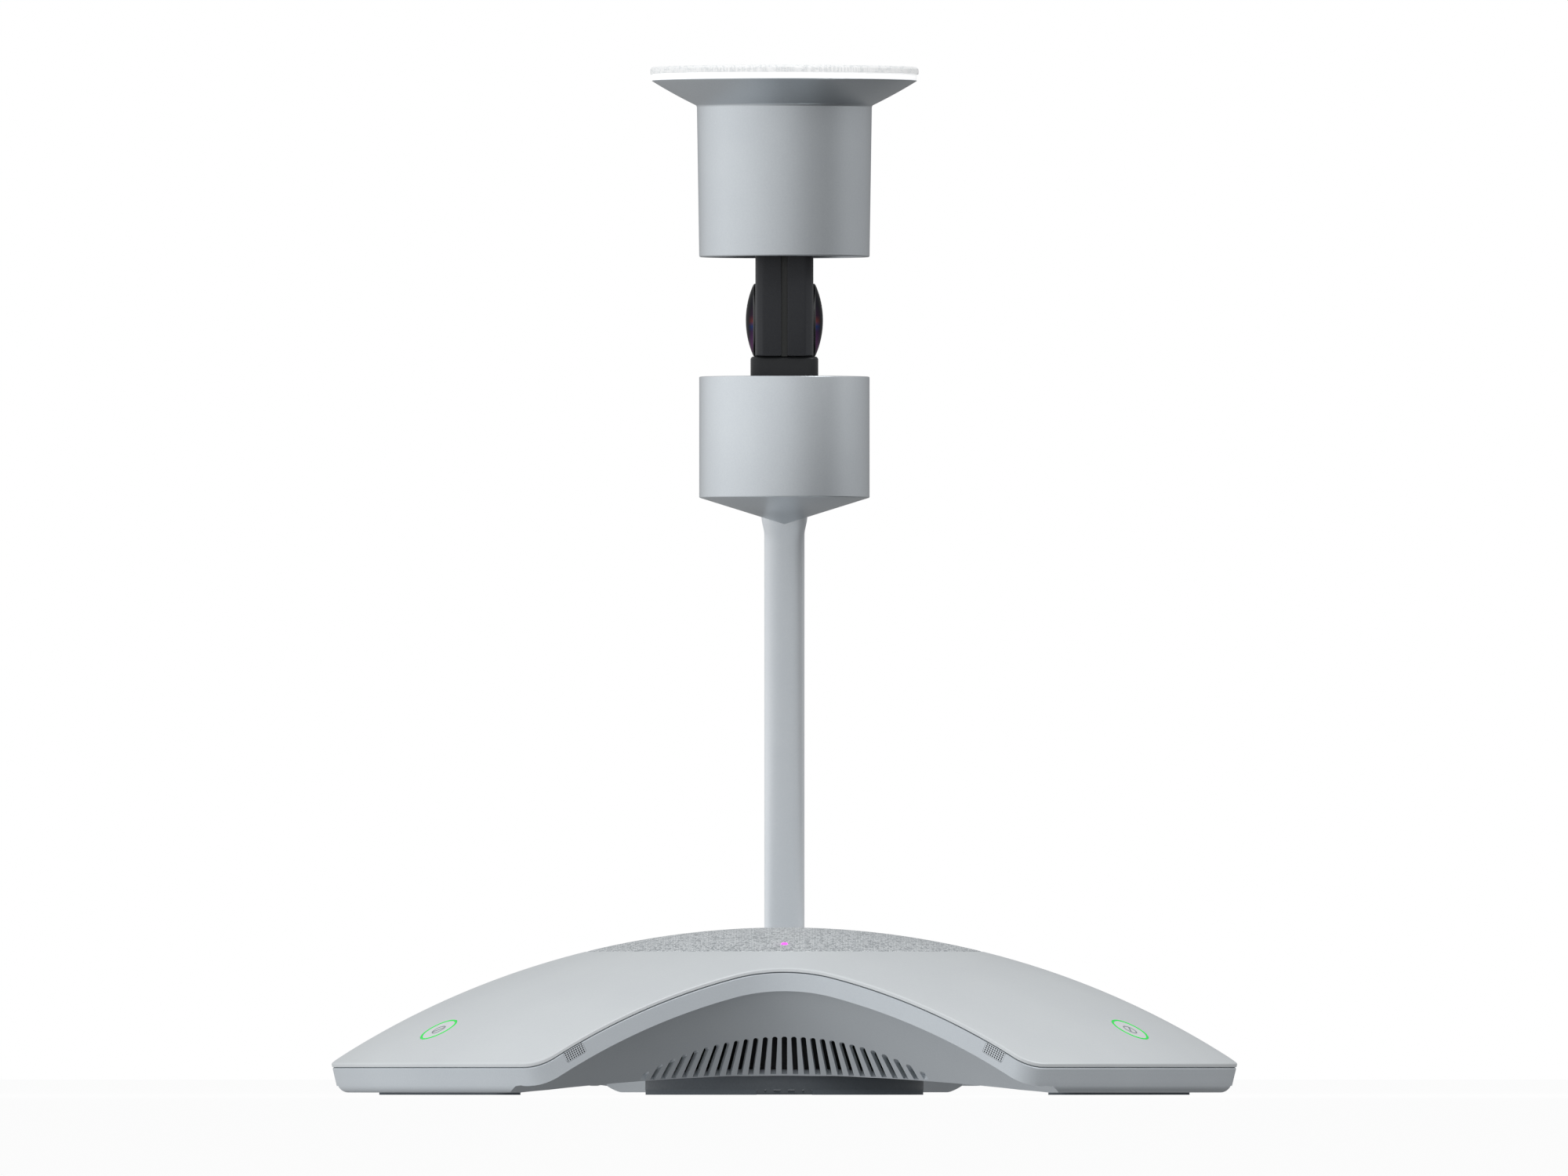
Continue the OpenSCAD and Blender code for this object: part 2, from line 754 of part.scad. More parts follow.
module button_board(turn) color("darkgreen") placed() on_dome(turn, button_tilt)
    translate([0, 0, -button_ring_d]) {
        translate([0, 0, -board_t]) linear_extrude(board_t)
            rounded([button_board_l, button_board_w], boss_r / 2);
        translate([-switch_w / 2, -switch_w / 2, 0]) cube([switch_w, switch_w, switch_h / 2]);
        cylinder(r = stem_r, h = switch_h);
    }

module button_board_1() button_board(arm_turns[0]);
module button_board_2() button_board(arm_turns[1]);
module button_board_3() button_board(arm_turns[2]);

// Pocket in the band for a microphone grille, with the hole behind it
module mic_pocket() {
    translate([0, 0, -mic_t]) linear_extrude(mic_t + over)
        rounded([mic_l + 2 * slack, mic_w + 2 * slack], mic_corner_r);
    translate([0, 0, -wall - over]) cylinder(r = mic_hole_r, h = wall + 2 * over);
}

module mic_grille(turn, side) color("silver") placed() at_mic(turn, side) translate([0, 0, -mic_t])
    linear_extrude(mic_t) difference() {
        rounded([mic_l, mic_w], mic_corner_r);
        for (x = mic_slot_shares * mic_l)
            translate([x - mic_gap_w / 2, -mic_w / 3]) square([mic_gap_w, 2 * mic_w / 3]);
    }

module mic_grille_1() mic_grille(arm_turns[0], -1);
module mic_grille_2() mic_grille(arm_turns[0], 1);
module mic_grille_3() mic_grille(arm_turns[1], -1);
module mic_grille_4() mic_grille(arm_turns[1], 1);
module mic_grille_5() mic_grille(arm_turns[2], -1);
module mic_grille_6() mic_grille(arm_turns[2], 1);

// The two microphone boards of an arm, flat on the inside of its walls
module mic_boards(turn) color("darkgreen") placed() for (side = [-1, 1]) at_mic(turn, side) {
    translate([0, 0, -wall - board_t]) linear_extrude(board_t)
        rounded([mic_board_w, mic_board_h], mic_corner_r);
    translate([0, 0, -wall - 2 * board_t]) cylinder(r = mic_board_h / 2 - slack, h = board_t);
}

module mic_boards_1() mic_boards(arm_turns[0]);
module mic_boards_2() mic_boards(arm_turns[1]);
module mic_boards_3() mic_boards(arm_turns[2]);

// Holes for the screws that hold the base's shells together
module screw_hole() {
    translate([0, 0, -over]) cylinder(r = screw_r + slack, h = boss_split_h + 2 * over);
    translate([0, 0, -over]) cylinder(r = screw_head_r + slack, h = screw_seat_h + over);
}

module shell_screws() color("dimgray") placed() boss_places() {
    translate([0, 0, screw_seat_h - screw_head_h]) cylinder(r = screw_head_r, h = screw_head_h);
    translate([0, 0, screw_seat_h - screw_head_h]) cylinder(r = screw_r, h = screw_top_h - screw_seat_h);
}

// Oval made of two wide and two narrow arcs
module oval(half_w, half_d, side_r) {
    c = half_w - side_r;
    wide_r = (c * c + half_d * half_d - side_r * side_r) / (2 * (half_d - side_r));
    k = wide_r - half_d;
    touch = c * wide_r / (wide_r - side_r);
    intersection() {
        translate([-k, 0]) circle(r = wide_r);
        translate([k, 0]) circle(r = wide_r);
        translate([-half_d, -touch]) square([2 * half_d, 2 * touch]);
    }
    for (m = [-1, 1]) translate([0, m * c]) circle(r = side_r);
}

// What the neck's arc carries through: children drawn at its axis, from one lean to another
module along_neck(from, to) translate([0, neck_axis_y, neck_axis_z]) rotate([90, 0, 90])
    rotate([0, 0, from]) rotate_extrude(angle = to - from, $fn = 720)
        translate([neck_bend_r, 0]) children();

module neck_arc(half_w, half_d, side_r, from, to) along_neck(from, to) oval(half_w, half_d, side_r);

// Lean at which the neck's axis reaches a height
function lean_at(h) = asin((h - neck_axis_z) / neck_bend_r);

module neck() color("silver") placed() along_neck(lean_at(neck_low_h), lean_at(neck_end_h)) difference() {
    oval(neck_half_w, neck_half_d, neck_side_r);
    oval(neck_half_w - neck_t, neck_half_d - neck_t, neck_side_r - neck_t);
}

module neck_foot() color("dimgray") placed() difference() {
    translate([-neck_foot_w / 2, neck_foot_y - neck_foot_d / 2, sole_low_h])
        cube([neck_foot_w, neck_foot_d, neck_foot_top - sole_low_h]);
    under(wall);
    neck_arc(neck_half_w + slack / 2, neck_half_d + slack / 2, neck_side_r + slack / 2,
        lean_at(0), lean_at(neck_foot_top + neck_foot_d));
}

module neck_cable() color("black") placed()
    along_neck(lean_at(neck_low_h), lean_at(camera_board_h - 2 * cable_r)) circle(r = cable_r);

module lower_cup() color("silver") placed() difference() {
    union() {
        rotate_extrude() polygon([
            [0, cup_tip_h], [cup_r, cup_edge_h], [cup_r, cup_top_h], [cup_in_r, cup_top_h],
            [cup_in_r, lid_low_h],
            [cup_in_r - cup_seat_w, lid_low_h],
            [cup_in_r - cup_seat_w, lid_low_h - lid_t],
            [cup_in_r, lid_low_h - 2 * lid_t], [cup_in_r, cup_edge_h + head_wall], [0, cup_tip_h + head_wall]
        ]);
        intersection() {
            neck_arc(neck_half_w + head_wall, neck_half_d + head_wall, neck_side_r + head_wall,
                neck_top_lean - 1, lean_at(neck_end_h));
            rotate_extrude() polygon([
                [0, cup_tip_h + over], [cup_in_r, cup_edge_h + over], [cup_in_r, cup_top_h], [0, cup_top_h]
            ]);
        }
        for (m = [-1, 1]) translate([m * cup_post_x, 0, cup_edge_h - over])
            cylinder(r = boss_r, h = camera_board_h - cup_edge_h + over);
    }
    neck_arc(neck_half_w + slack / 2, neck_half_d + slack / 2, neck_side_r + slack / 2,
        neck_root_lean, lean_at(neck_end_h) + 1);
}

module camera_board() color("darkgreen") placed() translate([0, 0, camera_board_h]) {
    cylinder(r = cup_in_r - cup_seat_w - slack, h = board_t);
    for (x = [chip_w / 2, -chip_w]) translate([x, -chip_w / 2, board_t]) cube([chip_w / 2, chip_w, chip_h]);
}

module cup_lid() color("dimgray") placed() translate([0, 0, lid_low_h])
    cylinder(r = cup_in_r - slack, h = lid_t);

module camera_block() color("black") placed() translate([0, 0, lid_low_h + lid_t])
    linear_extrude(block_h + lid_down) rounded([2 * block_half_t, 2 * block_half_w], cam_edge_r);

// One half of the camera housing, on the side that the sign gives
module camera_half(side) color("black") placed() difference() {
    translate([0, 0, block_top_h]) linear_extrude(cam_top_h - block_top_h) intersection() {
        rounded([2 * cam_half_t, 2 * cam_half_w], cam_edge_r);
        translate([side * (groove_half_w + cam_half_t), 0])
            square([2 * cam_half_t, 2 * base_r], center = true);
    }
    translate([0, 0, lens_h]) rotate([0, side * 90, 0]) cylinder(r = barrel_r + slack / 2, h = base_r);
}

module camera_left() camera_half(-1);
module camera_right() camera_half(1);

module camera_spine() color("dimgray") placed()
    translate([-groove_half_w, groove_d - cam_half_w, block_top_h])
    cube([2 * groove_half_w, 2 * (cam_half_w - groove_d), cam_top_h - block_top_h]);

// A lens's own frame: z along its axis, out of the housing
module at_lens(side) translate([0, 0, lens_h]) rotate([0, side * 90, 0]) children();

module lens_barrel(side) color("dimgray") placed() at_lens(side) difference() {
    union() {
        translate([0, 0, barrel_in]) cylinder(r = barrel_r, h = cam_half_t - barrel_in);
        translate([0, 0, cam_half_t]) cylinder(r1 = lens_r, r2 = glass_r, h = bezel_out);
    }
    translate([0, 0, barrel_in + board_t]) cylinder(r = barrel_r - barrel_t, h = cam_half_t);
    translate([0, 0, -over]) cylinder(r = barrel_r / 3, h = cam_half_t);
}

module lens_barrel_left() lens_barrel(-1);
module lens_barrel_right() lens_barrel(1);

module lens(side) color("darkslateblue") placed() at_lens(side) {
    intersection() {
        translate([0, 0, cam_half_t + bezel_out + lens_out - glass_ball_r])
            sphere(r = glass_ball_r, $fn = 180);
        translate([0, 0, cam_half_t + bezel_out]) cylinder(r = glass_r, h = 2 * lens_out);
    }
    translate([0, 0, cam_half_t]) cylinder(r = barrel_r - barrel_t - slack / 2, h = bezel_out + slack);
}

module lens_left() lens(-1);
module lens_right() lens(1);

module sensor_boards() color("darkgreen") placed() for (side = [-1, 1]) at_lens(side) {
    translate([-sensor_w / 2, -sensor_w / 2, groove_half_w]) cube([sensor_w, sensor_w, sensor_t]);
}

module hood() color("silver") placed() rotate_extrude() polygon(concat(
    [[hood_r - head_wall, hood_low_h], [hood_r, hood_low_h]],
    [for (i = [0 : flare_steps]) flare_point(i / flare_steps, 0)],
    [for (i = [flare_steps : -1 : 0]) flare_point(i / flare_steps, head_wall)]
));

// A point on the flare: a gentle curve from the hood's top to the ring, set in by a depth
function flare_point(t, inset) = [
    hood_top_r + (flare_r - hood_top_r) * t - inset,
    hood_top_h + flare_h * (flare_start_share * t + (1 - flare_start_share) * t * t)
];

module hood_guide() color("dimgray") placed() {
    translate([0, 0, hood_low_h + guide_up]) difference() {
        cylinder(r = hood_r - head_wall, h = guide_h);
        translate([0, 0, -over]) cylinder(r = guide_in_r, h = guide_h + 2 * over);
    }
    for (m = [-1, 1]) intersection() {
        translate([0, 0, hood_low_h + guide_up]) cylinder(r = hood_r - head_wall, h = guide_h);
        translate([0, m * (cam_half_w - groove_d + 2 * slack + base_r / 2), hood_low_h])
            cube([2 * (groove_half_w - slack), base_r, 2 * gap_h], center = true);
    }
}

module light_ring() color("white") placed() translate([0, 0, flare_top_h]) difference() {
    cylinder(r = flare_r - ring_in, h = ring_h);
    translate([0, 0, -over]) cylinder(r = light_in_r, h = ring_h + 2 * over);
}

module top_board() color("darkgreen") placed() {
    translate([0, 0, flare_top_h - led_h - board_t]) difference() {
        cylinder(r = top_board_r, h = board_t);
        translate([0, 0, -over]) cylinder(r = top_board_in_r, h = board_t + 2 * over);
    }
    for (i = [0 : led_count - 1]) rotate([0, 0, 360 * i / led_count])
        translate([top_board_r - led_w, -led_w / 2, flare_top_h - led_h]) cube([led_w, led_w, led_h]);
}

module top_cap() color("dimgray") placed() translate([0, 0, ring_top_h])
    cylinder(r = flare_r + cap_out - cloth_t, h = cap_h - cloth_t);

module top_cloth() color("gainsboro") placed() translate([0, 0, ring_top_h]) difference() {
    cylinder(r = flare_r + cap_out, h = cap_h);
    translate([0, 0, -over]) cylinder(r = flare_r + cap_out - cloth_t, h = cap_h - cloth_t + over);
}

lower_shell();
top_shell();
speaker_grille();
speaker_cloth();
status_light();
speaker_frame();
speaker_cone();
speaker_magnet();
speaker_box();
speaker_screws();
main_board();
heat_spreader();
usb_socket();
power_socket();
bottom_plate();
centre_pads();
arm_foot_1();
arm_foot_2();
arm_foot_3();
shell_screws();
button_1();
button_2();
button_3();
button_ring_1();
button_ring_2();
button_ring_3();
button_board_1();
button_board_2();
button_board_3();
mic_grille_1();
mic_grille_2();
mic_grille_3();
mic_grille_4();
mic_grille_5();
mic_grille_6();
mic_boards_1();
mic_boards_2();
mic_boards_3();
neck();
neck_foot();
neck_cable();
lower_cup();
cup_lid();
camera_board();
camera_left();
camera_right();
camera_spine();
camera_block();
lens_left();
lens_right();
lens_barrel_left();
lens_barrel_right();
sensor_boards();
hood();
hood_guide();
light_ring();
top_board();
top_cap();
top_cloth();
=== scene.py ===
import json
import math

import bmesh
import bpy
import numpy as np
from mathutils import Matrix, Vector


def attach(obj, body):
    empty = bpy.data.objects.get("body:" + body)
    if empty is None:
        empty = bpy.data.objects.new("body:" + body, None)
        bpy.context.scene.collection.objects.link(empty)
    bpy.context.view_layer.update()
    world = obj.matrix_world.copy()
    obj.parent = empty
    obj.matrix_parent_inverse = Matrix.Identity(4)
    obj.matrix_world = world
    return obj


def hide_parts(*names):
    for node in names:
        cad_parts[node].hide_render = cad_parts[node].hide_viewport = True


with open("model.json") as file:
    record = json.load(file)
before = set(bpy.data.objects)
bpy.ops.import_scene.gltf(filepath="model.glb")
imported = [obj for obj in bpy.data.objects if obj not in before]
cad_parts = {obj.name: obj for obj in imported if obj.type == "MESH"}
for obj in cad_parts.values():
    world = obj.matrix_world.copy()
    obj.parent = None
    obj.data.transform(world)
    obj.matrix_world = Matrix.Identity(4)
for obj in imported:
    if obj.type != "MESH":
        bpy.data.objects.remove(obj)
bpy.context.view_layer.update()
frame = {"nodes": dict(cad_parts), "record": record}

# Sizes in millimetres, as in part.scad; MM turns them into metres
MM = 0.001
BASE_R = 177.0
DOME_H = 65.2
DOME_R = 322.0
ARM_W = 82.0
INNER_R = 36.7
TIP_R = 12.0
DRAFT = math.tan(math.radians(14))
TOP_T = 1.5
CLOTH_R = 77.1
BALL_Z = DOME_H - DOME_R
CUP_R = 33.2
CUP_TIP = 222.3
CUP_EDGE = CUP_TIP + 0.3125 * CUP_R
CUP_TOP = 279.8
HOOD_LOW = CUP_TOP + 46.6
HOOD_TOP = HOOD_LOW + 59.0
FLARE_TOP = HOOD_TOP + 9.8
FLARE_R = 51.9
RING_TOP = FLARE_TOP + 2.5
CAP_TOP = RING_TOP + 2.7
LENS_Z = CUP_TOP + 22.0
HOUSING_X = 11.3
HOUSING_Y = 21.5
HOUSING_LOW = CUP_TOP + 7.7
CORNER_R = 4.0
HEAD_WALL = 2.2
HOOD_R = 34.1
CLOTH_T = 0.8
BUTTON_S = 155.0
MIC_S = 141.0
LED_R = 65.0
SOCKET_S = 169.0
# Directions of the arms, and of the coves between them, in degrees
ARMS = (90, 210, 330)
COVES = (30, 150, 270)


def dome_z(r, depth=0.0):
    """Height of the dome's sphere, or of one a depth below it, at a distance from the middle."""
    return BALL_Z + np.sqrt((DOME_R - depth) ** 2 - r * r)


RIM_H = float(dome_z(BASE_R))
CORNER_S = math.sqrt((BASE_R + 0.6 - TIP_R) ** 2 - (ARM_W - TIP_R) ** 2)
FRONT = math.sin(math.radians(30)) * CORNER_S + math.cos(math.radians(30)) * (ARM_W - TIP_R) + TIP_R
MIDDLE_Y = (BASE_R - FRONT) / 2
CENTRE = np.array([0.0, -MIDDLE_Y, 0.0])

# Materials


def srgb(r, g, b):
    def one(c):
        c /= 255
        return c / 12.92 if c <= 0.04045 else ((c + 0.055) / 1.055) ** 2.4
    return (one(r), one(g), one(b), 1.0)


class Nodes:
    """A material's node tree, with short calls for the nodes used here."""

    def __init__(self, name):
        self.material = bpy.data.materials.new(name)
        self.material.use_nodes = True
        self.tree = self.material.node_tree
        self.tree.nodes.clear()
        self.out = self.tree.nodes.new("ShaderNodeOutputMaterial")
        self.shader = self.tree.nodes.new("ShaderNodeBsdfPrincipled")
        self.join(self.shader.outputs[0], self.out.inputs["Surface"])
        self.place = self.tree.nodes.new("ShaderNodeTexCoord").outputs["Object"]

    def join(self, a, b):
        self.tree.links.new(a, b)

    def put(self, socket, value):
        if isinstance(value, bpy.types.NodeSocket):
            self.join(value, socket)
        else:
            socket.default_value = value

    def noise(self, scale, detail=2.0, rough=0.5, place=None):
        n = self.tree.nodes.new("ShaderNodeTexNoise")
        n.inputs["Scale"].default_value = scale
        n.inputs["Detail"].default_value = detail
        n.inputs["Roughness"].default_value = rough
        self.join(place or self.place, n.inputs["Vector"])
        return n.outputs["Fac"]

    def stretched(self, x, y, z):
        n = self.tree.nodes.new("ShaderNodeMapping")
        n.inputs["Scale"].default_value = (x, y, z)
        self.join(self.place, n.inputs["Vector"])
        return n.outputs[0]

    def span(self, value, low, high, to_low, to_high):
        n = self.tree.nodes.new("ShaderNodeMapRange")
        for i, v in enumerate((value, low, high, to_low, to_high)):
            self.put(n.inputs[i], v)
        return n.outputs[0]

    def mix(self, factor, a, b):
        n = self.tree.nodes.new("ShaderNodeMix")
        n.data_type = "RGBA"
        self.put(n.inputs["Factor"], factor)
        self.put(n.inputs[6], a)
        self.put(n.inputs[7], b)
        return n.outputs[2]

    def ramp(self, value, stops):
        n = self.tree.nodes.new("ShaderNodeValToRGB")
        for i, (at, colour) in enumerate(stops):
            e = n.color_ramp.elements[i] if i < 2 else n.color_ramp.elements.new(at)
            e.position = at
            e.color = colour
        self.join(value, n.inputs[0])
        return n.outputs[0]

    def math(self, what, a, b=0.0):
        n = self.tree.nodes.new("ShaderNodeMath")
        n.operation = what
        self.put(n.inputs[0], a)
        self.put(n.inputs[1], b)
        return n.outputs[0]

    def axis(self, which):
        n = self.tree.nodes.new("ShaderNodeSeparateXYZ")
        self.join(self.place, n.inputs[0])
        return n.outputs[which]

    def bump(self, height, strength, distance, under=None):
        n = self.tree.nodes.new("ShaderNodeBump")
        n.inputs["Strength"].default_value = strength
        n.inputs["Distance"].default_value = distance
        self.join(height, n.inputs["Height"])
        if under is not None:
            self.join(under, n.inputs["Normal"])
        return n.outputs[0]

    def set(self, **sockets):
        for name, value in sockets.items():
            self.put(self.shader.inputs[name.replace("_", " ")], value)


def moulded(name, low, high, rough=(0.42, 0.52), metal=0.0, grain=900.0, bump=0.00002, coat=0.0, shine=0.5):
    """Moulded or painted plastic: cloudy tone, fine grain in gloss and relief."""
    n = Nodes(name)
    cloud = n.noise(26.0, 3.0)
    fine = n.noise(grain, 2.0, 0.6)
    tone = n.math("ADD", n.math("MULTIPLY", cloud, 0.55), n.math("MULTIPLY", fine, 0.45))
    n.set(Base_Color=n.mix(n.span(tone, 0.3, 0.7, 0.0, 1.0), low, high))
    n.set(Roughness=n.span(n.noise(grain * 0.6, 2.0), 0.3, 0.7, rough[0], rough[1]))
    n.set(Metallic=metal, Normal=n.bump(fine, 0.35, bump), Specular_IOR_Level=shine)
    if coat:
        n.set(Coat_Weight=coat, Coat_Roughness=0.12)
    return n.material


def brushed(name, low, high, rough, metal, along):
    """Turned or drawn metal with fine lines along one direction."""
    n = Nodes(name)
    lines = n.noise(1.0, 2.0, 0.6, n.stretched(*along))
    cloud = n.noise(30.0, 2.0)
    tone = n.math("ADD", n.math("MULTIPLY", cloud, 0.5), n.math("MULTIPLY", lines, 0.5))
    n.set(Base_Color=n.mix(n.span(tone, 0.3, 0.7, 0.0, 1.0), low, high))
    n.set(Roughness=n.span(lines, 0.3, 0.7, rough[0], rough[1]))
    n.set(Metallic=metal, Normal=n.bump(lines, 0.2, 0.00001))
    return n.material


def woven(name, dark, mid, light, pitch, painted_glow=0.0):
    """Heather cloth: a plain weave of threads, some of them dark, with a little fuzz, and a painted glow that can
    brighten it though cloth is no lamp.
    """
    n = Nodes(name)
    k = 2 * math.pi / (20 * pitch)

    def wave(direction):
        w = n.tree.nodes.new("ShaderNodeTexWave")
        w.bands_direction = direction
        w.inputs["Scale"].default_value = k
        w.inputs["Distortion"].default_value = 0.9
        w.inputs["Detail"].default_value = 1.0
        w.inputs["Detail Scale"].default_value = 1.5
        n.join(n.place, w.inputs["Vector"])
        return w.outputs["Fac"]

    warp, weft = wave("X"), wave("Y")
    threads = n.math("MAXIMUM", n.math("MULTIPLY", warp, 0.9), weft)
    cells = n.tree.nodes.new("ShaderNodeTexVoronoi")
    cells.inputs["Scale"].default_value = 0.8 / pitch
    cells.inputs["Randomness"].default_value = 1.0
    n.join(n.stretched(1.0, 0.45, 1.0), cells.inputs["Vector"])
    split = n.tree.nodes.new("ShaderNodeSeparateColor")
    n.join(cells.outputs["Color"], split.inputs[0])
    fleck = n.math("MULTIPLY", split.outputs[0], n.span(n.noise(1 / pitch, 2.0, 0.7), 0.3, 0.7, 0.55, 1.35))
    colour = n.ramp(fleck, [(0.10, dark), (0.42, mid), (0.75, light)])
    # Gaps between the threads take the dark colour: painted shade in the weave, together with the dark of the
    # inside seen through it
    deep = n.span(threads, 0.25, 0.95, 0.0, 1.0)
    n.set(Base_Color=n.mix(deep, dark, colour), Roughness=n.span(split.outputs[1], 0.0, 1.0, 0.82, 0.97))
    # Emission here is a painted glow: it brightens the cloth, which gives no light of its own
    n.set(Sheen_Weight=0.25, Sheen_Roughness=0.45, Emission_Strength=painted_glow)
    n.set(Emission_Color=n.mix(deep, dark, colour))
    n.set(Normal=n.bump(threads, 0.7, pitch * 0.28, n.bump(n.noise(2.2 / pitch, 2.0), 0.25, pitch * 0.2)))
    return n.material


def glowing(name, colour, base, strength):
    n = Nodes(name)
    cloud = n.noise(500.0, 2.0)
    n.set(Base_Color=n.mix(cloud, base, tuple(min(1.0, c * 1.06) for c in base[:3]) + (1.0,)))
    n.set(Roughness=n.span(cloud, 0.3, 0.7, 0.3, 0.4), Emission_Strength=strength)
    n.set(Emission_Color=n.mix(cloud, colour, tuple(min(1.0, c * 1.05) for c in colour[:3]) + (1.0,)))
    return n.material


def glass_with_painted_reflections(name):
    """The lens dome: dark glass with rings about its axis, a painted violet, blue and red reflection of the
    coating low down, and painted white highlight stripes.
    """
    n = Nodes(name)
    up = n.math("SUBTRACT", n.axis(2), LENS_Z * MM)
    across = n.math("SUBTRACT", n.axis(1), -MIDDLE_Y * MM)
    far = n.math("SQRT", n.math("ADD", n.math("MULTIPLY", up, up), n.math("MULTIPLY", across, across)))
    rings = n.ramp(n.span(far, 0.0, 14.0 * MM, 0.0, 1.0), [
        (0.0, (0.003, 0.004, 0.010, 1)), (0.16, (0.006, 0.010, 0.030, 1)), (0.24, (0.030, 0.014, 0.050, 1)),
        (0.30, (0.006, 0.006, 0.010, 1)), (0.52, (0.010, 0.010, 0.013, 1)), (0.56, (0.018, 0.018, 0.022, 1)),
        (0.60, (0.008, 0.008, 0.010, 1)), (0.82, (0.010, 0.010, 0.012, 1)), (0.9, (0.016, 0.015, 0.018, 1)),
        (1.0, (0.010, 0.010, 0.012, 1))])
    high = n.span(up, -14.2 * MM, 14.2 * MM, 0.0, 1.0)
    # Painted reflection: the coating's violet, blue and red reflections are painted into the colour by height
    painted_coating_reflection = n.ramp(high, [
        (0.0, (0.060, 0.022, 0.045, 1)), (0.16, (0.130, 0.035, 0.130, 1)), (0.34, (0.060, 0.020, 0.090, 1)),
        (0.41, (0.014, 0.045, 0.180, 1)), (0.48, (0.180, 0.040, 0.040, 1)), (0.56, (0.040, 0.014, 0.040, 1)),
        (0.70, (0.010, 0.010, 0.018, 1)), (1.0, (0.010, 0.010, 0.012, 1))])
    # The painted reflection shows more towards the rim of the dome
    edge = n.span(far, 8.0 * MM, 13.5 * MM, 0.0, 0.85)
    cloud = n.noise(120.0, 1.0)
    rings_and_painted_reflection = n.mix(n.math("MULTIPLY", edge, n.span(cloud, 0.3, 0.7, 0.75, 1.0)), rings, painted_coating_reflection)
    # Painted highlight: two white stripes across the lens, where lamps would glint, painted into the colour
    painted_highlight_streaks = n.ramp(n.span(up, 4.4 * MM, 7.2 * MM, 0.0, 1.0), [
        (0.12, (0, 0, 0, 1)), (0.22, (1, 1, 1, 1)), (0.36, (1, 1, 1, 1)), (0.46, (0, 0, 0, 1)),
        (0.58, (0, 0, 0, 1)), (0.66, (0.8, 0.8, 0.8, 1)), (0.76, (0.8, 0.8, 0.8, 1)), (0.88, (0, 0, 0, 1))])
    # The painted highlight stripes keep to a narrow band about the lens's middle
    near = n.span(n.math("ABSOLUTE", across), 1.6 * MM, 3.4 * MM, 1.0, 0.0)
    n.set(Base_Color=n.mix(n.math("MULTIPLY", painted_highlight_streaks, near), rings_and_painted_reflection, srgb(214, 216, 226)))
    n.set(Roughness=n.span(cloud, 0.3, 0.7, 0.05, 0.09), IOR=1.45, Specular_IOR_Level=0.004)
    return n.material


def circuit(name):
    n = Nodes(name)
    cells = n.tree.nodes.new("ShaderNodeTexBrick")
    cells.inputs["Scale"].default_value = 260.0
    cells.inputs["Mortar Size"].default_value = 0.03
    n.join(n.place, cells.inputs["Vector"])
    n.set(Base_Color=n.mix(cells.outputs["Fac"], n.mix(n.noise(300.0), srgb(16, 62, 40), srgb(24, 82, 52)),
                           srgb(60, 110, 66)))
    n.set(Roughness=n.span(n.noise(700.0), 0.3, 0.7, 0.35, 0.5), Normal=n.bump(cells.outputs["Fac"], 0.3, 0.00003))
    return n.material


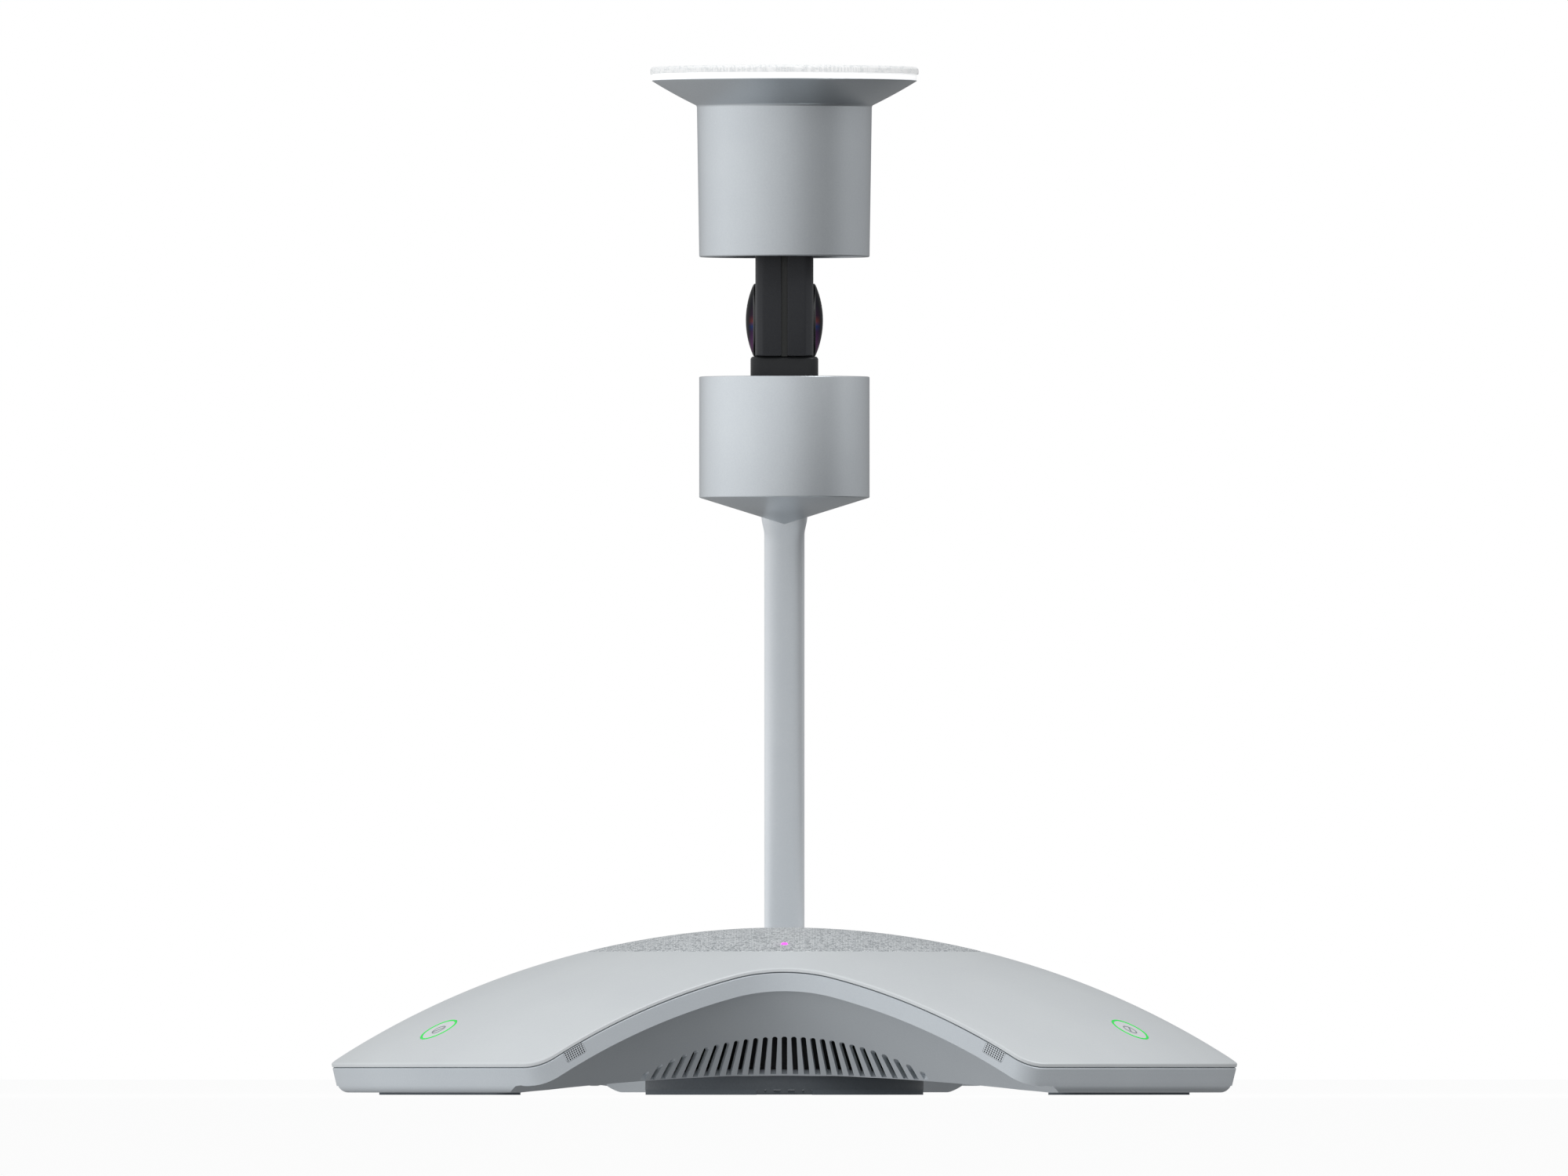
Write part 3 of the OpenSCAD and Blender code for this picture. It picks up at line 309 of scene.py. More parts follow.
M = {
    "base_shell": moulded("base_shell_paint", srgb(200, 206, 212), srgb(208, 214, 219), (0.44, 0.52), 0.25,
                          1500.0),
    "top_shell": moulded("top_shell_paint", srgb(214, 218, 221), srgb(220, 224, 226), (0.42, 0.50), 0.15, 1500.0),
    "head_shell": moulded("head_paint", srgb(203, 208, 213), srgb(212, 217, 221), (0.30, 0.36), 0.85, 1500.0,
                          0.00001),
    # The neck's paint is given lighter than the head's, though both are one silver: painted light that makes up
    # for the shade the head and base cast on the neck
    "neck_metal": moulded("neck_paint_painted_light", srgb(236, 240, 244), srgb(243, 246, 249), (0.46, 0.54), 0.6, 1500.0,
                          0.00001),
    "grille_plastic": moulded("grille_plastic", srgb(70, 73, 77), srgb(82, 85, 89), (0.5, 0.6)),
    "cloth": woven("heather_cloth", srgb(144, 149, 153), srgb(202, 207, 210), srgb(228, 231, 233), 0.00058),
    # The crown's cloth gets a painted glow of 0.14, so that it renders brighter
    "cap_cloth": woven("cap_heather_cloth_painted_glow", srgb(228, 230, 231), srgb(252, 252, 252), srgb(254, 254, 254), 0.00062,
                       0.14),
    "status_light": glowing("status_glow", srgb(255, 60, 250), srgb(255, 90, 250), 1.3),
    "speaker_metal": brushed("speaker_steel", srgb(120, 122, 126), srgb(140, 142, 146), (0.3, 0.4), 0.9,
                             (3000, 3000, 40)),
    "speaker_cone": moulded("speaker_paper", srgb(26, 26, 28), srgb(36, 36, 39), (0.7, 0.8)),
    "inner_plastic": moulded("inner_plastic", srgb(30, 31, 34), srgb(40, 41, 44), (0.5, 0.6)),
    "screw_steel": brushed("screw_steel", srgb(70, 72, 76), srgb(92, 94, 98), (0.3, 0.4), 1.0, (2500, 2500, 2500)),
    "circuit_board": circuit("circuit_board_green"),
    "heat_spreader": brushed("heat_spreader_alloy", srgb(176, 179, 183), srgb(190, 193, 197), (0.3, 0.42), 1.0,
                             (60, 3000, 60)),
    "socket_metal": brushed("socket_steel", srgb(150, 153, 157), srgb(172, 175, 179), (0.25, 0.35), 1.0,
                            (3000, 60, 3000)),
    "underside_plastic": moulded("underside_plastic", srgb(86, 92, 98), srgb(98, 104, 110), (0.5, 0.6), 0.0,
                                 1200.0),
    "rubber": moulded("foot_rubber", srgb(96, 103, 110), srgb(112, 119, 126), (0.72, 0.85), 0.0, 1600.0, 0.00004),
    "bracket_metal": brushed("bracket_steel", srgb(120, 122, 126), srgb(142, 144, 148), (0.35, 0.45), 0.9,
                             (40, 2500, 2500)),
    "inner_rubber": moulded("inner_rubber", srgb(22, 22, 24), srgb(32, 32, 34), (0.7, 0.8)),
    "camera_black": moulded("camera_black", srgb(52, 53, 56), srgb(60, 61, 64), (0.28, 0.36), 0.0, 2200.0, 0.00001,
                            shine=0.15),
    # The block's black is a darker copy of the housing's black: painted shade under the housing
    "block_black": moulded("block_black", srgb(38, 39, 41), srgb(46, 47, 49), (0.30, 0.38), 0.0, 2200.0, 0.00001,
                           shine=0.2),
    "camera_spine": moulded("camera_spine_black", srgb(24, 26, 25), srgb(31, 33, 31), (0.4, 0.5), 0.0, 2200.0),
    "guide_plastic": moulded("guide_plastic", srgb(40, 41, 43), srgb(52, 53, 56), (0.5, 0.6)),
    "lens_glass": glass_with_painted_reflections("lens_glass_painted_reflections"),
    "lens_bezel": moulded("lens_bezel_black", srgb(20, 21, 23), srgb(27, 28, 30), (0.3, 0.4), 0.0, 2200.0, 0.00001,
                          0.3),
    "light_ring": glowing("light_ring_diffuser", srgb(255, 255, 255), srgb(246, 247, 248), 0.45),
    "button_cap": moulded("button_cap", srgb(216, 220, 222), srgb(226, 229, 231), (0.4, 0.5)),
    "button_light": glowing("button_glow", srgb(18, 208, 70), srgb(30, 180, 66), 0.55),
    "mic_grille": moulded("mic_grille", srgb(200, 206, 212), srgb(208, 214, 219), (0.44, 0.52), 0.25, 1500.0),
    # Painted shade: a dark colour for the walls and floors of the microphone holes
    "mic_hole": moulded("mic_hole_painted_shade", srgb(28, 30, 33), srgb(36, 38, 41), (0.6, 0.7)),
    "mark": moulded("button_mark", srgb(128, 134, 138), srgb(140, 146, 150), (0.5, 0.6)),
}

slots = {s["node"]: s["material_slot"] for s in frame["record"]["subparts"]}
for node, obj in frame["nodes"].items():
    obj.data.materials.clear()
    obj.data.materials.append(M[slots[node]])

# Mesh helpers


def closed_mesh(name, points, faces):
    """A mesh from points in millimetres, with its faces turned outwards."""
    mesh = bpy.data.meshes.new(name)
    mesh.from_pydata([[c * MM for c in p] for p in points], [], [list(f) for f in faces])
    bm = bmesh.new()
    bm.from_mesh(mesh)
    bmesh.ops.recalc_face_normals(bm, faces=bm.faces)
    bm.to_mesh(mesh)
    bm.free()
    return mesh


def smooth(mesh, sharp=32.0):
    """Smooth shading, but for edges sharper than an angle."""
    for p in mesh.polygons:
        p.use_smooth = True
    mesh.set_sharp_from_angle(angle=math.radians(sharp))


def link(name, data):
    obj = bpy.data.objects.new(name, data)
    bpy.context.scene.collection.objects.link(obj)
    return obj


def piece(name, points, faces, material, body="base", replaces=()):
    """A closed mesh that rides a body and stands for nodes of the frame."""
    mesh = closed_mesh(name, points, faces)
    smooth(mesh)
    obj = link(name, mesh)
    mesh.materials.append(M[material])
    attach(obj, body)
    if replaces:
        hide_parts(*replaces)
    return obj


def rounded_line(corners, steps=5):
    """A closed outline with its corners rounded: corners are (x, y, radius)."""
    out = []
    count = len(corners)
    for i, (x, y, r) in enumerate(corners):
        p = np.array([x, y])
        a = np.array(corners[i - 1][:2]) - p
        b = np.array(corners[(i + 1) % count][:2]) - p
        if r <= 0:
            out.append((x, y))
            continue
        la, lb = np.linalg.norm(a), np.linalg.norm(b)
        a, b = a / la, b / lb
        half = math.acos(max(-1.0, min(1.0, float(a @ b)))) / 2
        back = min(r / math.tan(half), la * 0.49, lb * 0.49)
        r = back * math.tan(half)
        bis = (a + b) / np.linalg.norm(a + b)
        mid = p + bis * (r / math.sin(half))
        start, end = p + a * back - mid, p + b * back - mid
        turn = math.atan2(start[0] * end[1] - start[1] * end[0], float(start @ end))
        for k in range(steps + 1):
            t = turn * k / steps
            c, s = math.cos(t), math.sin(t)
            out.append(tuple(mid + np.array([c * start[0] - s * start[1], s * start[0] + c * start[1]])))
    return out


def box_line(x, y, r, steps):
    """A rectangle's outline with round corners, from its half sizes."""
    return rounded_line([(-x, -y, r), (x, -y, r), (x, y, r), (-x, y, r)], steps)


def lathe(outline, n=160, place=None):
    """A closed outline of (radius, height) turned about the axis; place moves the points."""
    points, rings = [], []
    for r, z in outline:
        if r < 1e-6:
            rings.append([len(points)] * n)
            points.append((0.0, 0.0, z))
        else:
            rings.append(list(range(len(points), len(points) + n)))
            points += [(r * math.cos(2 * math.pi * k / n), r * math.sin(2 * math.pi * k / n), z) for k in range(n)]
    faces = []
    for i, a in enumerate(rings):
        b = rings[(i + 1) % len(rings)]
        if a[0] == a[1] and b[0] == b[1]:
            continue
        for k in range(n):
            j = (k + 1) % n
            face = []
            for v in (a[k], a[j], b[j], b[k]):
                if v not in face:
                    face.append(v)
            faces.append(face)
    if place is None:
        return [tuple(np.array(p) + CENTRE) for p in points], faces
    return [tuple(place @ Vector(p)) for p in points], faces


def loft(rings):
    """Skin over rings with the same number of points; the ends are closed with a face each."""
    n = len(rings[0])
    points = [tuple(p) for ring in rings for p in ring]
    faces = []
    for i in range(len(rings) - 1):
        for k in range(n):
            j = (k + 1) % n
            faces.append((i * n + k, i * n + j, (i + 1) * n + j, (i + 1) * n + k))
    faces.append(tuple(range(n)))
    faces.append(tuple((len(rings) - 1) * n + k for k in range(n)))
    return points, faces


def torus_loft(rings):
    """Skin over rings that closes back on its first ring."""
    n, m = len(rings[0]), len(rings)
    points = [tuple(p) for ring in rings for p in ring]
    faces = []
    for i in range(m):
        a, b = i * n, ((i + 1) % m) * n
        for k in range(n):
            j = (k + 1) % n
            faces.append((a + k, a + j, b + j, b + k))
    return points, faces


def carve(obj, cutters):
    """Cuts closed shapes, given as (points, faces) in millimetres, out of a piece."""
    for points, faces in cutters:
        mesh = closed_mesh("cutter", points, faces)
        cutter = link("cutter", mesh)
        mod = obj.modifiers.new("carve", "BOOLEAN")
        mod.operation = "DIFFERENCE"
        mod.solver = "EXACT"
        mod.object = cutter
        bpy.context.view_layer.update()
        done = bpy.data.meshes.new_from_object(obj.evaluated_get(bpy.context.evaluated_depsgraph_get()))
        obj.modifiers.clear()
        obj.data = done
        bpy.data.objects.remove(cutter)
        bpy.data.meshes.remove(mesh)


def shade_ball(obj, within=0.02):
    """Gives faces on the dome's sphere its true normals, so that they shade evenly."""
    mesh = obj.data
    smooth(mesh)
    mid = Vector(CENTRE) * MM + Vector((0, 0, BALL_Z * MM))
    normals = [Vector(c.vector) for c in mesh.corner_normals]
    for p in mesh.polygons:
        up = p.center - mid
        if abs(up.length - DOME_R * MM) < within * MM * 3 and p.normal.dot(up.normalized()) > 0.995:
            for k in p.loop_indices:
                v = mesh.vertices[mesh.loops[k].vertex_index].co - mid
                if abs(v.length - DOME_R * MM) < within * MM:
                    normals[k] = v.normalized()
    mesh.normals_split_custom_set(normals)


# Base: top shell


def sixth(inset, rho):
    """One sixth of the outline, from the middle of an arm's end to the middle of a cove.
    rho is the radius of the arm's end at each point."""
    tip, half_w, inner = TIP_R - inset, ARM_W - inset, INNER_R + inset
    rho = rho - inset
    cc = ARM_W - TIP_R
    cs = np.sqrt((rho - tip) ** 2 - cc ** 2)
    a_c = np.arctan2(cc, cs)
    out = np.zeros((len(KIND), 2))
    mid_s = (ARM_W + INNER_R) / math.sin(math.radians(60))
    mid = np.array([mid_s * 0.5, mid_s * math.sin(math.radians(60))])
    for i, (kind, f) in enumerate(KIND):
        if kind == "end":
            a = a_c[i] * f
            out[i] = np.array([math.cos(a), math.sin(a)]) * rho[i]
        elif kind == "corner":
            a = a_c[i] + (math.pi / 2 - a_c[i]) * f
            out[i] = np.array([cs[i], cc]) + np.array([math.cos(a), math.sin(a)]) * tip
        elif kind == "side":
            out[i] = (cs[i] + (mid[0] - cs[i]) * f, half_w)
        else:
            a = math.radians(-90 - 30 * f)
            out[i] = mid + np.array([math.cos(a), math.sin(a)]) * inner
    return out


# The points of a sixth: the part of the outline that each lies on, and how far along it
KIND = ([("end", i / 22) for i in range(22)] + [("corner", i / 9) for i in range(9)]
        + [("side", i / 30) for i in range(30)] + [("inner", i / 26) for i in range(27)])


def outline(inset, depth, drop=0.0, height=None):
    """The whole outline as points, with heights on the sphere at a depth and less a drop, or by a rule."""
    z = np.full(len(KIND), RIM_H)
    for _ in range(5):
        pts = sixth(inset, BASE_R - DRAFT * (RIM_H - z))
        r = np.hypot(pts[:, 0], pts[:, 1])
        z = dome_z(r, depth) - drop if height is None else height(r)
    ring = []
    for turn in ARMS:
        c, s = math.cos(math.radians(turn)), math.sin(math.radians(turn))
        half = [(i, -1) for i in range(len(KIND) - 1, 0, -1)] + [(i, 1) for i in range(len(KIND) - 1)]
        for i, side in half:
            x, y = pts[i][0], side * pts[i][1]
            ring.append((c * x - s * y, s * x + c * y, z[i]))
    return np.array(ring) + CENTRE


def ring_inside(edge, share, depth, inner_r):
    """A ring between the circle round the cloth and the outline's edge."""
    flat = edge[:, :2] - CENTRE[:2]
    away = np.hypot(flat[:, 0], flat[:, 1])
    circle = flat / away[:, None] * inner_r
    p = circle + (flat - circle) * share
    z = dome_z(np.hypot(p[:, 0], p[:, 1]), depth)
    return np.column_stack([p, z]) + CENTRE


# The rounded outer edge, the lip round the cloth with its gap, and how wide the edge is below
EDGE, LIP, LIP_GAP, EDGE_IN = 0.55, 0.45, 0.12, 3.0
edge_ring = outline(EDGE, 0.0)
inner_r = CLOTH_R + LIP_GAP
flat = edge_ring[:, :2] - CENTRE[:2]
flat = flat / np.hypot(flat[:, 0], flat[:, 1])[:, None]
rings = []
for k in range(3, -1, -1):
    b = math.radians(90 * k / 4)
    r = inner_r + LIP * (1 - math.sin(b))
    z = float(dome_z(r)) - LIP * (1 - math.cos(b))
    rings.append(np.column_stack([flat * r, np.full(len(flat), z)]) + CENTRE)
for k in range(1, 27):
    rings.append(ring_inside(edge_ring, k / 26, 0.0, inner_r + LIP))
for k in range(1, 6):
    b = math.radians(90 * k / 5)
    rings.append(outline(EDGE * (1 - math.sin(b)), 0.0, EDGE * (1 - math.cos(b))))
under = outline(EDGE_IN, TOP_T)
rings += [outline(0.0, TOP_T - 0.2), outline(0.2, TOP_T), under]
for k in (0.75, 0.5, 0.25, 0.0):
    rings.append(ring_inside(under, k, TOP_T, inner_r))
points, faces = torus_loft(rings)
top_skin = piece("dome_skin", points, faces, "top_shell", replaces=["top_shell"])


def tilted(turn, s):
    """The frame on the dome where a button sits, with z along the sphere's normal."""
    tilt = math.asin(s / DOME_R)
    move = Matrix.Translation(Vector(CENTRE) + Vector((0, 0, BALL_Z)))
    return move @ Matrix.Rotation(math.radians(turn), 4, "Z") @ Matrix.Rotation(tilt, 4, "Y") \
        @ Matrix.Translation((0, 0, DOME_R))


BUTTONS = [(turn, "button_%d" % (i + 1)) for i, turn in enumerate(ARMS)]
# Radii of a button's hole, of its ring inside and outside, of its cap and of its stem
HOLE_R, GLOW_IN, GLOW_OUT, BUTTON_R, STEM_R = 7.95, 7.12, 7.8, 7.0, 1.6
hole = [(0, -4), (HOLE_R, -4), (HOLE_R, 3), (0, 3)]
carve(top_skin, [lathe(hole, 96, tilted(turn, BUTTON_S)) for turn, _ in BUTTONS])
shade_ball(top_skin)

# Base: lower shell

# Depths of the seam and of the band's lower edge below the dome, the wall, and the rounding of the toe
SEAM, BAND, WALL, TOE = 1.9, 8.5, 2.4, 2.6
# A cove's cone: its angle, its axis from the middle, its radius at a height, and how it widens downwards
CONE = math.radians(50)
COVE_D, COVE_R, COVE_H, LEAN = 159.0, 61.2, 40.7, math.tan(CONE)
# The slots of a cove: how many, their step in degrees, their half widths, and the arch that ends them
SLOTS, SLOT_STEP, SLOT_HALF, SLOT_TOP = 29, 2.5, 1.06, 0.55
ARCH_R, ARCH_DROP = 111.6, 89.0
# Where the slots' foot is measured, from the cone's axis, and how steeply their sill rises
FOOT_R, SILL = 99.5, 0.9
# Half sizes of the mouths in the skin: microphones, their drop below the dome's edge, USB socket and jack
MIC_X, MIC_Y, MIC_DROP, USB_X, USB_Y, JACK_R = 4.9, 2.2, 4.4, 1.95, 4.85, 2.25


def sole(r):
    """Height of the underside: it rises from the ends of the arms towards the middle."""
    return np.interp(r, [58.8, 152.0], [7.65, 0.9])


def shrunk(ring, share, height):
    """A ring drawn in towards the middle, with heights by a rule."""
    flat = (ring[:, :2] - CENTRE[:2]) * share
    return np.column_stack([flat, height(np.hypot(flat[:, 0], flat[:, 1]))]) + CENTRE


def body_loft(inset, seam, up, toe):
    """The lower shell's outside, or the room in it: a drafted body between the seam's sphere and the sole."""
    top = outline(inset + (0.2 if toe else 0.0), seam)
    rings = [shrunk(top, k, lambda r: dome_z(r, seam)) for k in (0.04, 0.3, 0.55, 0.8, 0.93)] + [top]
    if toe:
        rings.append(outline(inset, seam + 0.2))
    ends = toe if toe else 0.01
    for f in (0.25, 0.5, 0.75, 1.0):
        rings.append(outline(inset, seam, height=lambda r: (
            (1 - f) * dome_z(r, seam + 0.2) + f * (sole(r) + up + ends))))
    if toe:
        for k in range(1, 7):
            b = math.radians(90 * k / 6)
            rings.append(outline(inset + toe * (1 - math.cos(b)), seam,
                                 height=lambda r: sole(r) + up + toe * (1 - math.sin(b))))
    last = rings[-1]
    rings += [shrunk(last, k, lambda r: sole(r) + up) for k in (0.93, 0.8, 0.65, 0.5, 0.36, 0.2, 0.04)]
    return loft([list(r) for r in rings])


def cove_solid(turn, offset, depth, n=216):
    """What a cove takes away: a cone under a sphere, with its axis outside the base."""
    base_r = COVE_R + offset / math.cos(CONE)
    axis = np.array([math.cos(math.radians(turn)), math.sin(math.radians(turn))]) * COVE_D

    def at(a, r):
        return axis + r * np.array([math.cos(a), math.sin(a)])

    def roof(a, r):
        away = np.hypot(*at(a, r))
        return max(2.0, float(dome_z(min(away, 300.0), depth)))

    angles = [2 * math.pi * k / n for k in range(n)]
    tops = []
    for a in angles:
        low, high = 0.0, 140.0
        for _ in range(40):
            mid = (low + high) / 2
            if roof(a, mid) < COVE_H - (mid - base_r) / LEAN:
                low = mid
            else:
                high = mid
        tops.append(low)
    rings = []
    for w in [0.02] + list(np.linspace(0.1, 1.0, 22)):
        rings.append([np.append(at(a, r * w), roof(a, r * w)) + CENTRE for a, r in zip(angles, tops)])
    for f in np.linspace(0.0, 1.0, 20)[1:]:
        ring = []
        for a, r in zip(angles, tops):
            start = COVE_H - (r - base_r) / LEAN
            h = start + (-2.0 - start) * f
            ring.append(np.append(at(a, base_r + LEAN * (COVE_H - h)), h) + CENTRE)
        rings.append(ring)
    return loft(rings)


def joined(shapes):
    """Several closed shapes as one list of points and one of faces."""
    points, faces = [], []
    for pts, fcs in shapes:
        faces += [tuple(v + len(points) for v in f) for f in fcs]
        points += [tuple(p) for p in pts]
    return points, faces


def fan_solid(turn):
    """The slots of one cove: upright blades, arched at the top, with a sill that rises inwards."""
    c, s = math.cos(math.radians(turn)), math.sin(math.radians(turn))
    blades = []
    for i in range(SLOTS):
        a = math.radians(SLOT_STEP * (i - (SLOTS - 1) / 2))
        low_at = math.hypot(COVE_D - FOOT_R * math.cos(a), FOOT_R * math.sin(a))
        foot = float(sole(low_at)) + 0.12
        face = COVE_R + LEAN * (COVE_H - foot) - 0.7
        sections = []
        for r in (60.0, 70.0, 80.0, 88.0, 94.0, 97.3, face, face + 2.63, face + 5.17, face + 7.9):
            x, y = COVE_D - r * math.cos(a), -r * math.sin(a)
            top = -ARCH_DROP + math.sqrt(ARCH_R ** 2 - y * y)
            low = foot + max(0.0, r - face) * SILL
            if top < low + 0.5:
                continue
            nick = min(0.5, (top - low) / 3)
            section = []
            for side, z in ((-SLOT_HALF, low), (-SLOT_HALF, top - nick), (-SLOT_TOP, top),
                            (SLOT_TOP, top), (SLOT_HALF, top - nick), (SLOT_HALF, low)):
                px, py = x + side * math.sin(a), y - side * math.cos(a)
                section.append((c * px - s * py, s * px + c * py - MIDDLE_Y, z))
            sections.append(section)
        if len(sections) > 1:
            blades.append(loft(sections))
    return joined(blades)


def prism(place, outline_2d, z0, z1):
    """An outline drawn out from one height to another, and put in its place."""
    return loft([[tuple(place @ Vector((x, y, z))) for x, y in outline_2d] for z in (z0, z1)])


def mic_place(turn, side):
    """A place on the long side of an arm, under the dome's edge, with z pointing outwards."""
    s = MIC_S
    r = math.hypot(s, ARM_W)
    z = float(dome_z(r)) - MIC_DROP
    slope = math.atan(s / math.sqrt(DOME_R ** 2 - r * r))
    return Matrix.Translation(Vector(CENTRE)) @ Matrix.Rotation(math.radians(turn), 4, "Z") \
        @ Matrix.Translation((s, side * ARM_W, z)) @ Matrix.Rotation(slope, 4, "Y") \
        @ Matrix.Rotation(math.radians(-side * 90), 4, "X")


def end_place(side, height):
    """A place on the end of the back arm, with z pointing outwards."""
    return Matrix.Translation(Vector(CENTRE)) @ Matrix.Rotation(math.radians(90), 4, "Z") \
        @ Matrix.Translation((SOCKET_S, side, height)) @ Matrix.Rotation(math.radians(90), 4, "Y")


points, faces = body_loft(0.0, SEAM, 0.0, TOE)
low_skin = piece("base_skin", points, faces, "base_shell", replaces=["lower_shell"])
carve(low_skin, [cove_solid(t, 0.0, BAND) for t in COVES])
points, faces = body_loft(WALL, 0.5, WALL, 0.0)
room = piece("room", points, faces, "base_shell")
carve(room, [cove_solid(t, WALL, BAND - WALL) for t in COVES])
hollow = [tuple(v.co / MM) for v in room.data.vertices], [tuple(p.vertices) for p in room.data.polygons]
bpy.data.objects.remove(room)
power_line = [(JACK_R * math.cos(a), JACK_R * math.sin(a)) for a in (math.radians(15 * k) for k in range(24))]
mouths = [prism(mic_place(t, m), box_line(MIC_X, MIC_Y, 0.8, 4), -1.15, 2) for t in ARMS for m in (-1, 1)]
mouths.append(prism(end_place(12, 7.4), box_line(USB_X, USB_Y, 1.8, 6), 0, 12))
mouths.append(prism(end_place(-12, 7.7), power_line, 0, 12))
carve(low_skin, [hollow] + [fan_solid(t) for t in COVES] + [joined(mouths)])


def cone_normal(p):
    """The skin's normal at a point, if the point lies on the cone of a cove."""
    for t in COVES:
        x = p[0] - COVE_D * math.cos(math.radians(t))
        y = p[1] - COVE_D * math.sin(math.radians(t))
        r = math.hypot(x, y)
        if abs(r - (COVE_R + LEAN * (COVE_H - p[2]))) < 0.06:
            return Vector((-x / r, -y / r, -LEAN)).normalized()
    return None


def shade_cones(obj):
    """Gives the coves' walls their true normals."""
    mesh = obj.data
    smooth(mesh, 28.0)
    normals = [Vector(c.vector) for c in mesh.corner_normals]
    for p in mesh.polygons:
        if p.normal.z < -0.55:
            n = cone_normal(p.center / MM - Vector(CENTRE))
            if n is not None and n.dot(p.normal) > 0.98:
                for k in p.loop_indices:
                    m = cone_normal(mesh.vertices[mesh.loops[k].vertex_index].co / MM - Vector(CENTRE))
                    normals[k] = m or n
    mesh.normals_split_custom_set(normals)


shade_cones(low_skin)

# Base: cloth, light, buttons, microphones

# The cloth's rounded edge: how wide it is, and how far it falls; the lamp's hole in it, and the lamp
ROUND, FALL, LED_HOLE, LAMP_R = 0.9, 0.55, 1.4, 1.3
top = []
for r in list(np.linspace(1.5, CLOTH_R - ROUND, 34)) + [CLOTH_R - 0.6, CLOTH_R - 0.35, CLOTH_R - 0.15, CLOTH_R]:
    top.append((r, float(dome_z(r)) - FALL * max(0.0, (r - CLOTH_R + ROUND) / ROUND) ** 2))
low = [(r, float(dome_z(r, CLOTH_T))) for r in (CLOTH_R, 60.0, 40.0, 20.0)]
points, faces = lathe([(0.0, DOME_H)] + top + low + [(0.0, DOME_H - CLOTH_T)], 200)
cloth = piece("dome_cloth", points, faces, "cloth", replaces=["speaker_cloth"])
led = Matrix.Translation(Vector(CENTRE) + Vector((0, -LED_R, float(dome_z(LED_R)))))
carve(cloth, [lathe([(0, -3), (LED_HOLE, -3), (LED_HOLE, 2), (0, 2)], 32, led)])
shade_ball(cloth)
bulb = [(LAMP_R * math.cos(a), -0.05 + 0.7 * math.sin(a)) for a in np.linspace(0.0, math.pi / 2, 7)[:-1]]
points, faces = lathe([(0, -0.8), (LAMP_R, -0.8)] + bulb + [(0, 0.65)], 32, led)
piece("status_lamp", points, faces, "status_light", replaces=["status_light"])

for turn, name in BUTTONS:
    place = tilted(turn, BUTTON_S)
    shape = rounded_line([(GLOW_IN, -9.0, 0), (GLOW_OUT, -9.0, 0), (GLOW_OUT, 0.12, 0.2), (GLOW_IN, 0.12, 0.2)])
    points, faces = lathe(shape, 96, place)
    piece("glow_" + name, points, faces, "button_light", replaces=[name.replace("button_", "button_ring_")])
    shape = [(0, -4.95), (STEM_R, -4.95), (STEM_R, -1.8), (BUTTON_R, -1.8), (BUTTON_R, -0.35),
             (6.94, -0.15), (6.76, -0.03), (6.45, 0.0), (3.0, -0.16), (0, -0.22)]
    points, faces = lathe(shape, 96, place)
    piece("cap_" + name, points, faces, "button_cap", body=name + "_cap", replaces=[name])
    circle = rounded_line([(2.5, -0.3, 0), (3.0, -0.3, 0), (3.0, -0.06, 0.05), (2.5, -0.06, 0.05)])
    marks = [lathe(circle, 48, place)]
    bar = place @ Matrix.Translation((0, 0, -0.17)) @ Matrix.Rotation(math.radians(45), 4, "Z")
    box = [(x * 0.24, y * 2.4, z * 0.09) for z in (-1, 1) for x, y in ((-1, -1), (1, -1), (1, 1), (-1, 1))]
    marks.append(([tuple(bar @ Vector(p)) for p in box],
                  [(0, 1, 2, 3), (4, 5, 6, 7), (0, 1, 5, 4), (1, 2, 6, 5), (2, 3, 7, 6), (3, 0, 4, 7)]))
    points, faces = joined(marks)
    piece("mark_" + name, points, faces, "mark", body=name + "_cap")


def hole_plate(place, cols=9, rows=5, pitch=1.0, hole=0.3, size=(9.6, 4.2), front=-0.04, deep=0.8, n=10):
    """A plate with a grid of round holes: face, hole walls and a floor behind, whose faces are listed apart to
    take painted shade.
    """
    points, faces, dark = [], [], []

    def vert(x, y, z):
        points.append(tuple(place @ Vector((x, y, z))))
        return len(points) - 1

    x0, y0 = -cols * pitch / 2, -rows * pitch / 2 * 0.8
    step_y = pitch * 0.8
    grid = [[vert(x0 + i * pitch, y0 + j * step_y, front) for j in range(rows + 1)] for i in range(cols + 1)]
    for i in range(cols):
        for j in range(rows):
            cx, cy = x0 + (i + 0.5) * pitch, y0 + (j + 0.5) * step_y
            turns = [2 * math.pi * k / n + math.pi * 1.25 for k in range(n)]
            rim, low = ([vert(cx + hole * math.cos(t), cy + hole * math.sin(t), z) for t in turns]
                        for z in (front, front - deep))
            corner = [grid[i][j], grid[i + 1][j], grid[i + 1][j + 1], grid[i][j + 1]]
            cut = [round(n * q / 4) for q in range(5)]
            for q in range(4):
                arc = [rim[k % n] for k in range(cut[q], cut[q + 1] + 1)]
                faces.append([corner[q], corner[(q + 1) % 4]] + arc[::-1])
            for k in range(n):
                m = (k + 1) % n
                faces.append([rim[k], rim[m], low[m], low[k]])
                dark.append(len(faces) - 1)
            faces.append(low)
            dark.append(len(faces) - 1)
    w, h = size[0] / 2, size[1] / 2
    outer = box_line(w, h, 0.7, 4)
    inner = [grid[0][0]] + [grid[i][0] for i in range(1, cols + 1)] + [grid[cols][j] for j in range(1, rows + 1)] \
        + [grid[i][rows] for i in range(cols - 1, -1, -1)] + [grid[0][j] for j in range(rows - 1, 0, -1)]
    rim = [vert(x, y, front) for x, y in outer]
    back = [vert(x, y, -1.1) for x, y in outer]
    return points, faces, dark, rim, back, inner


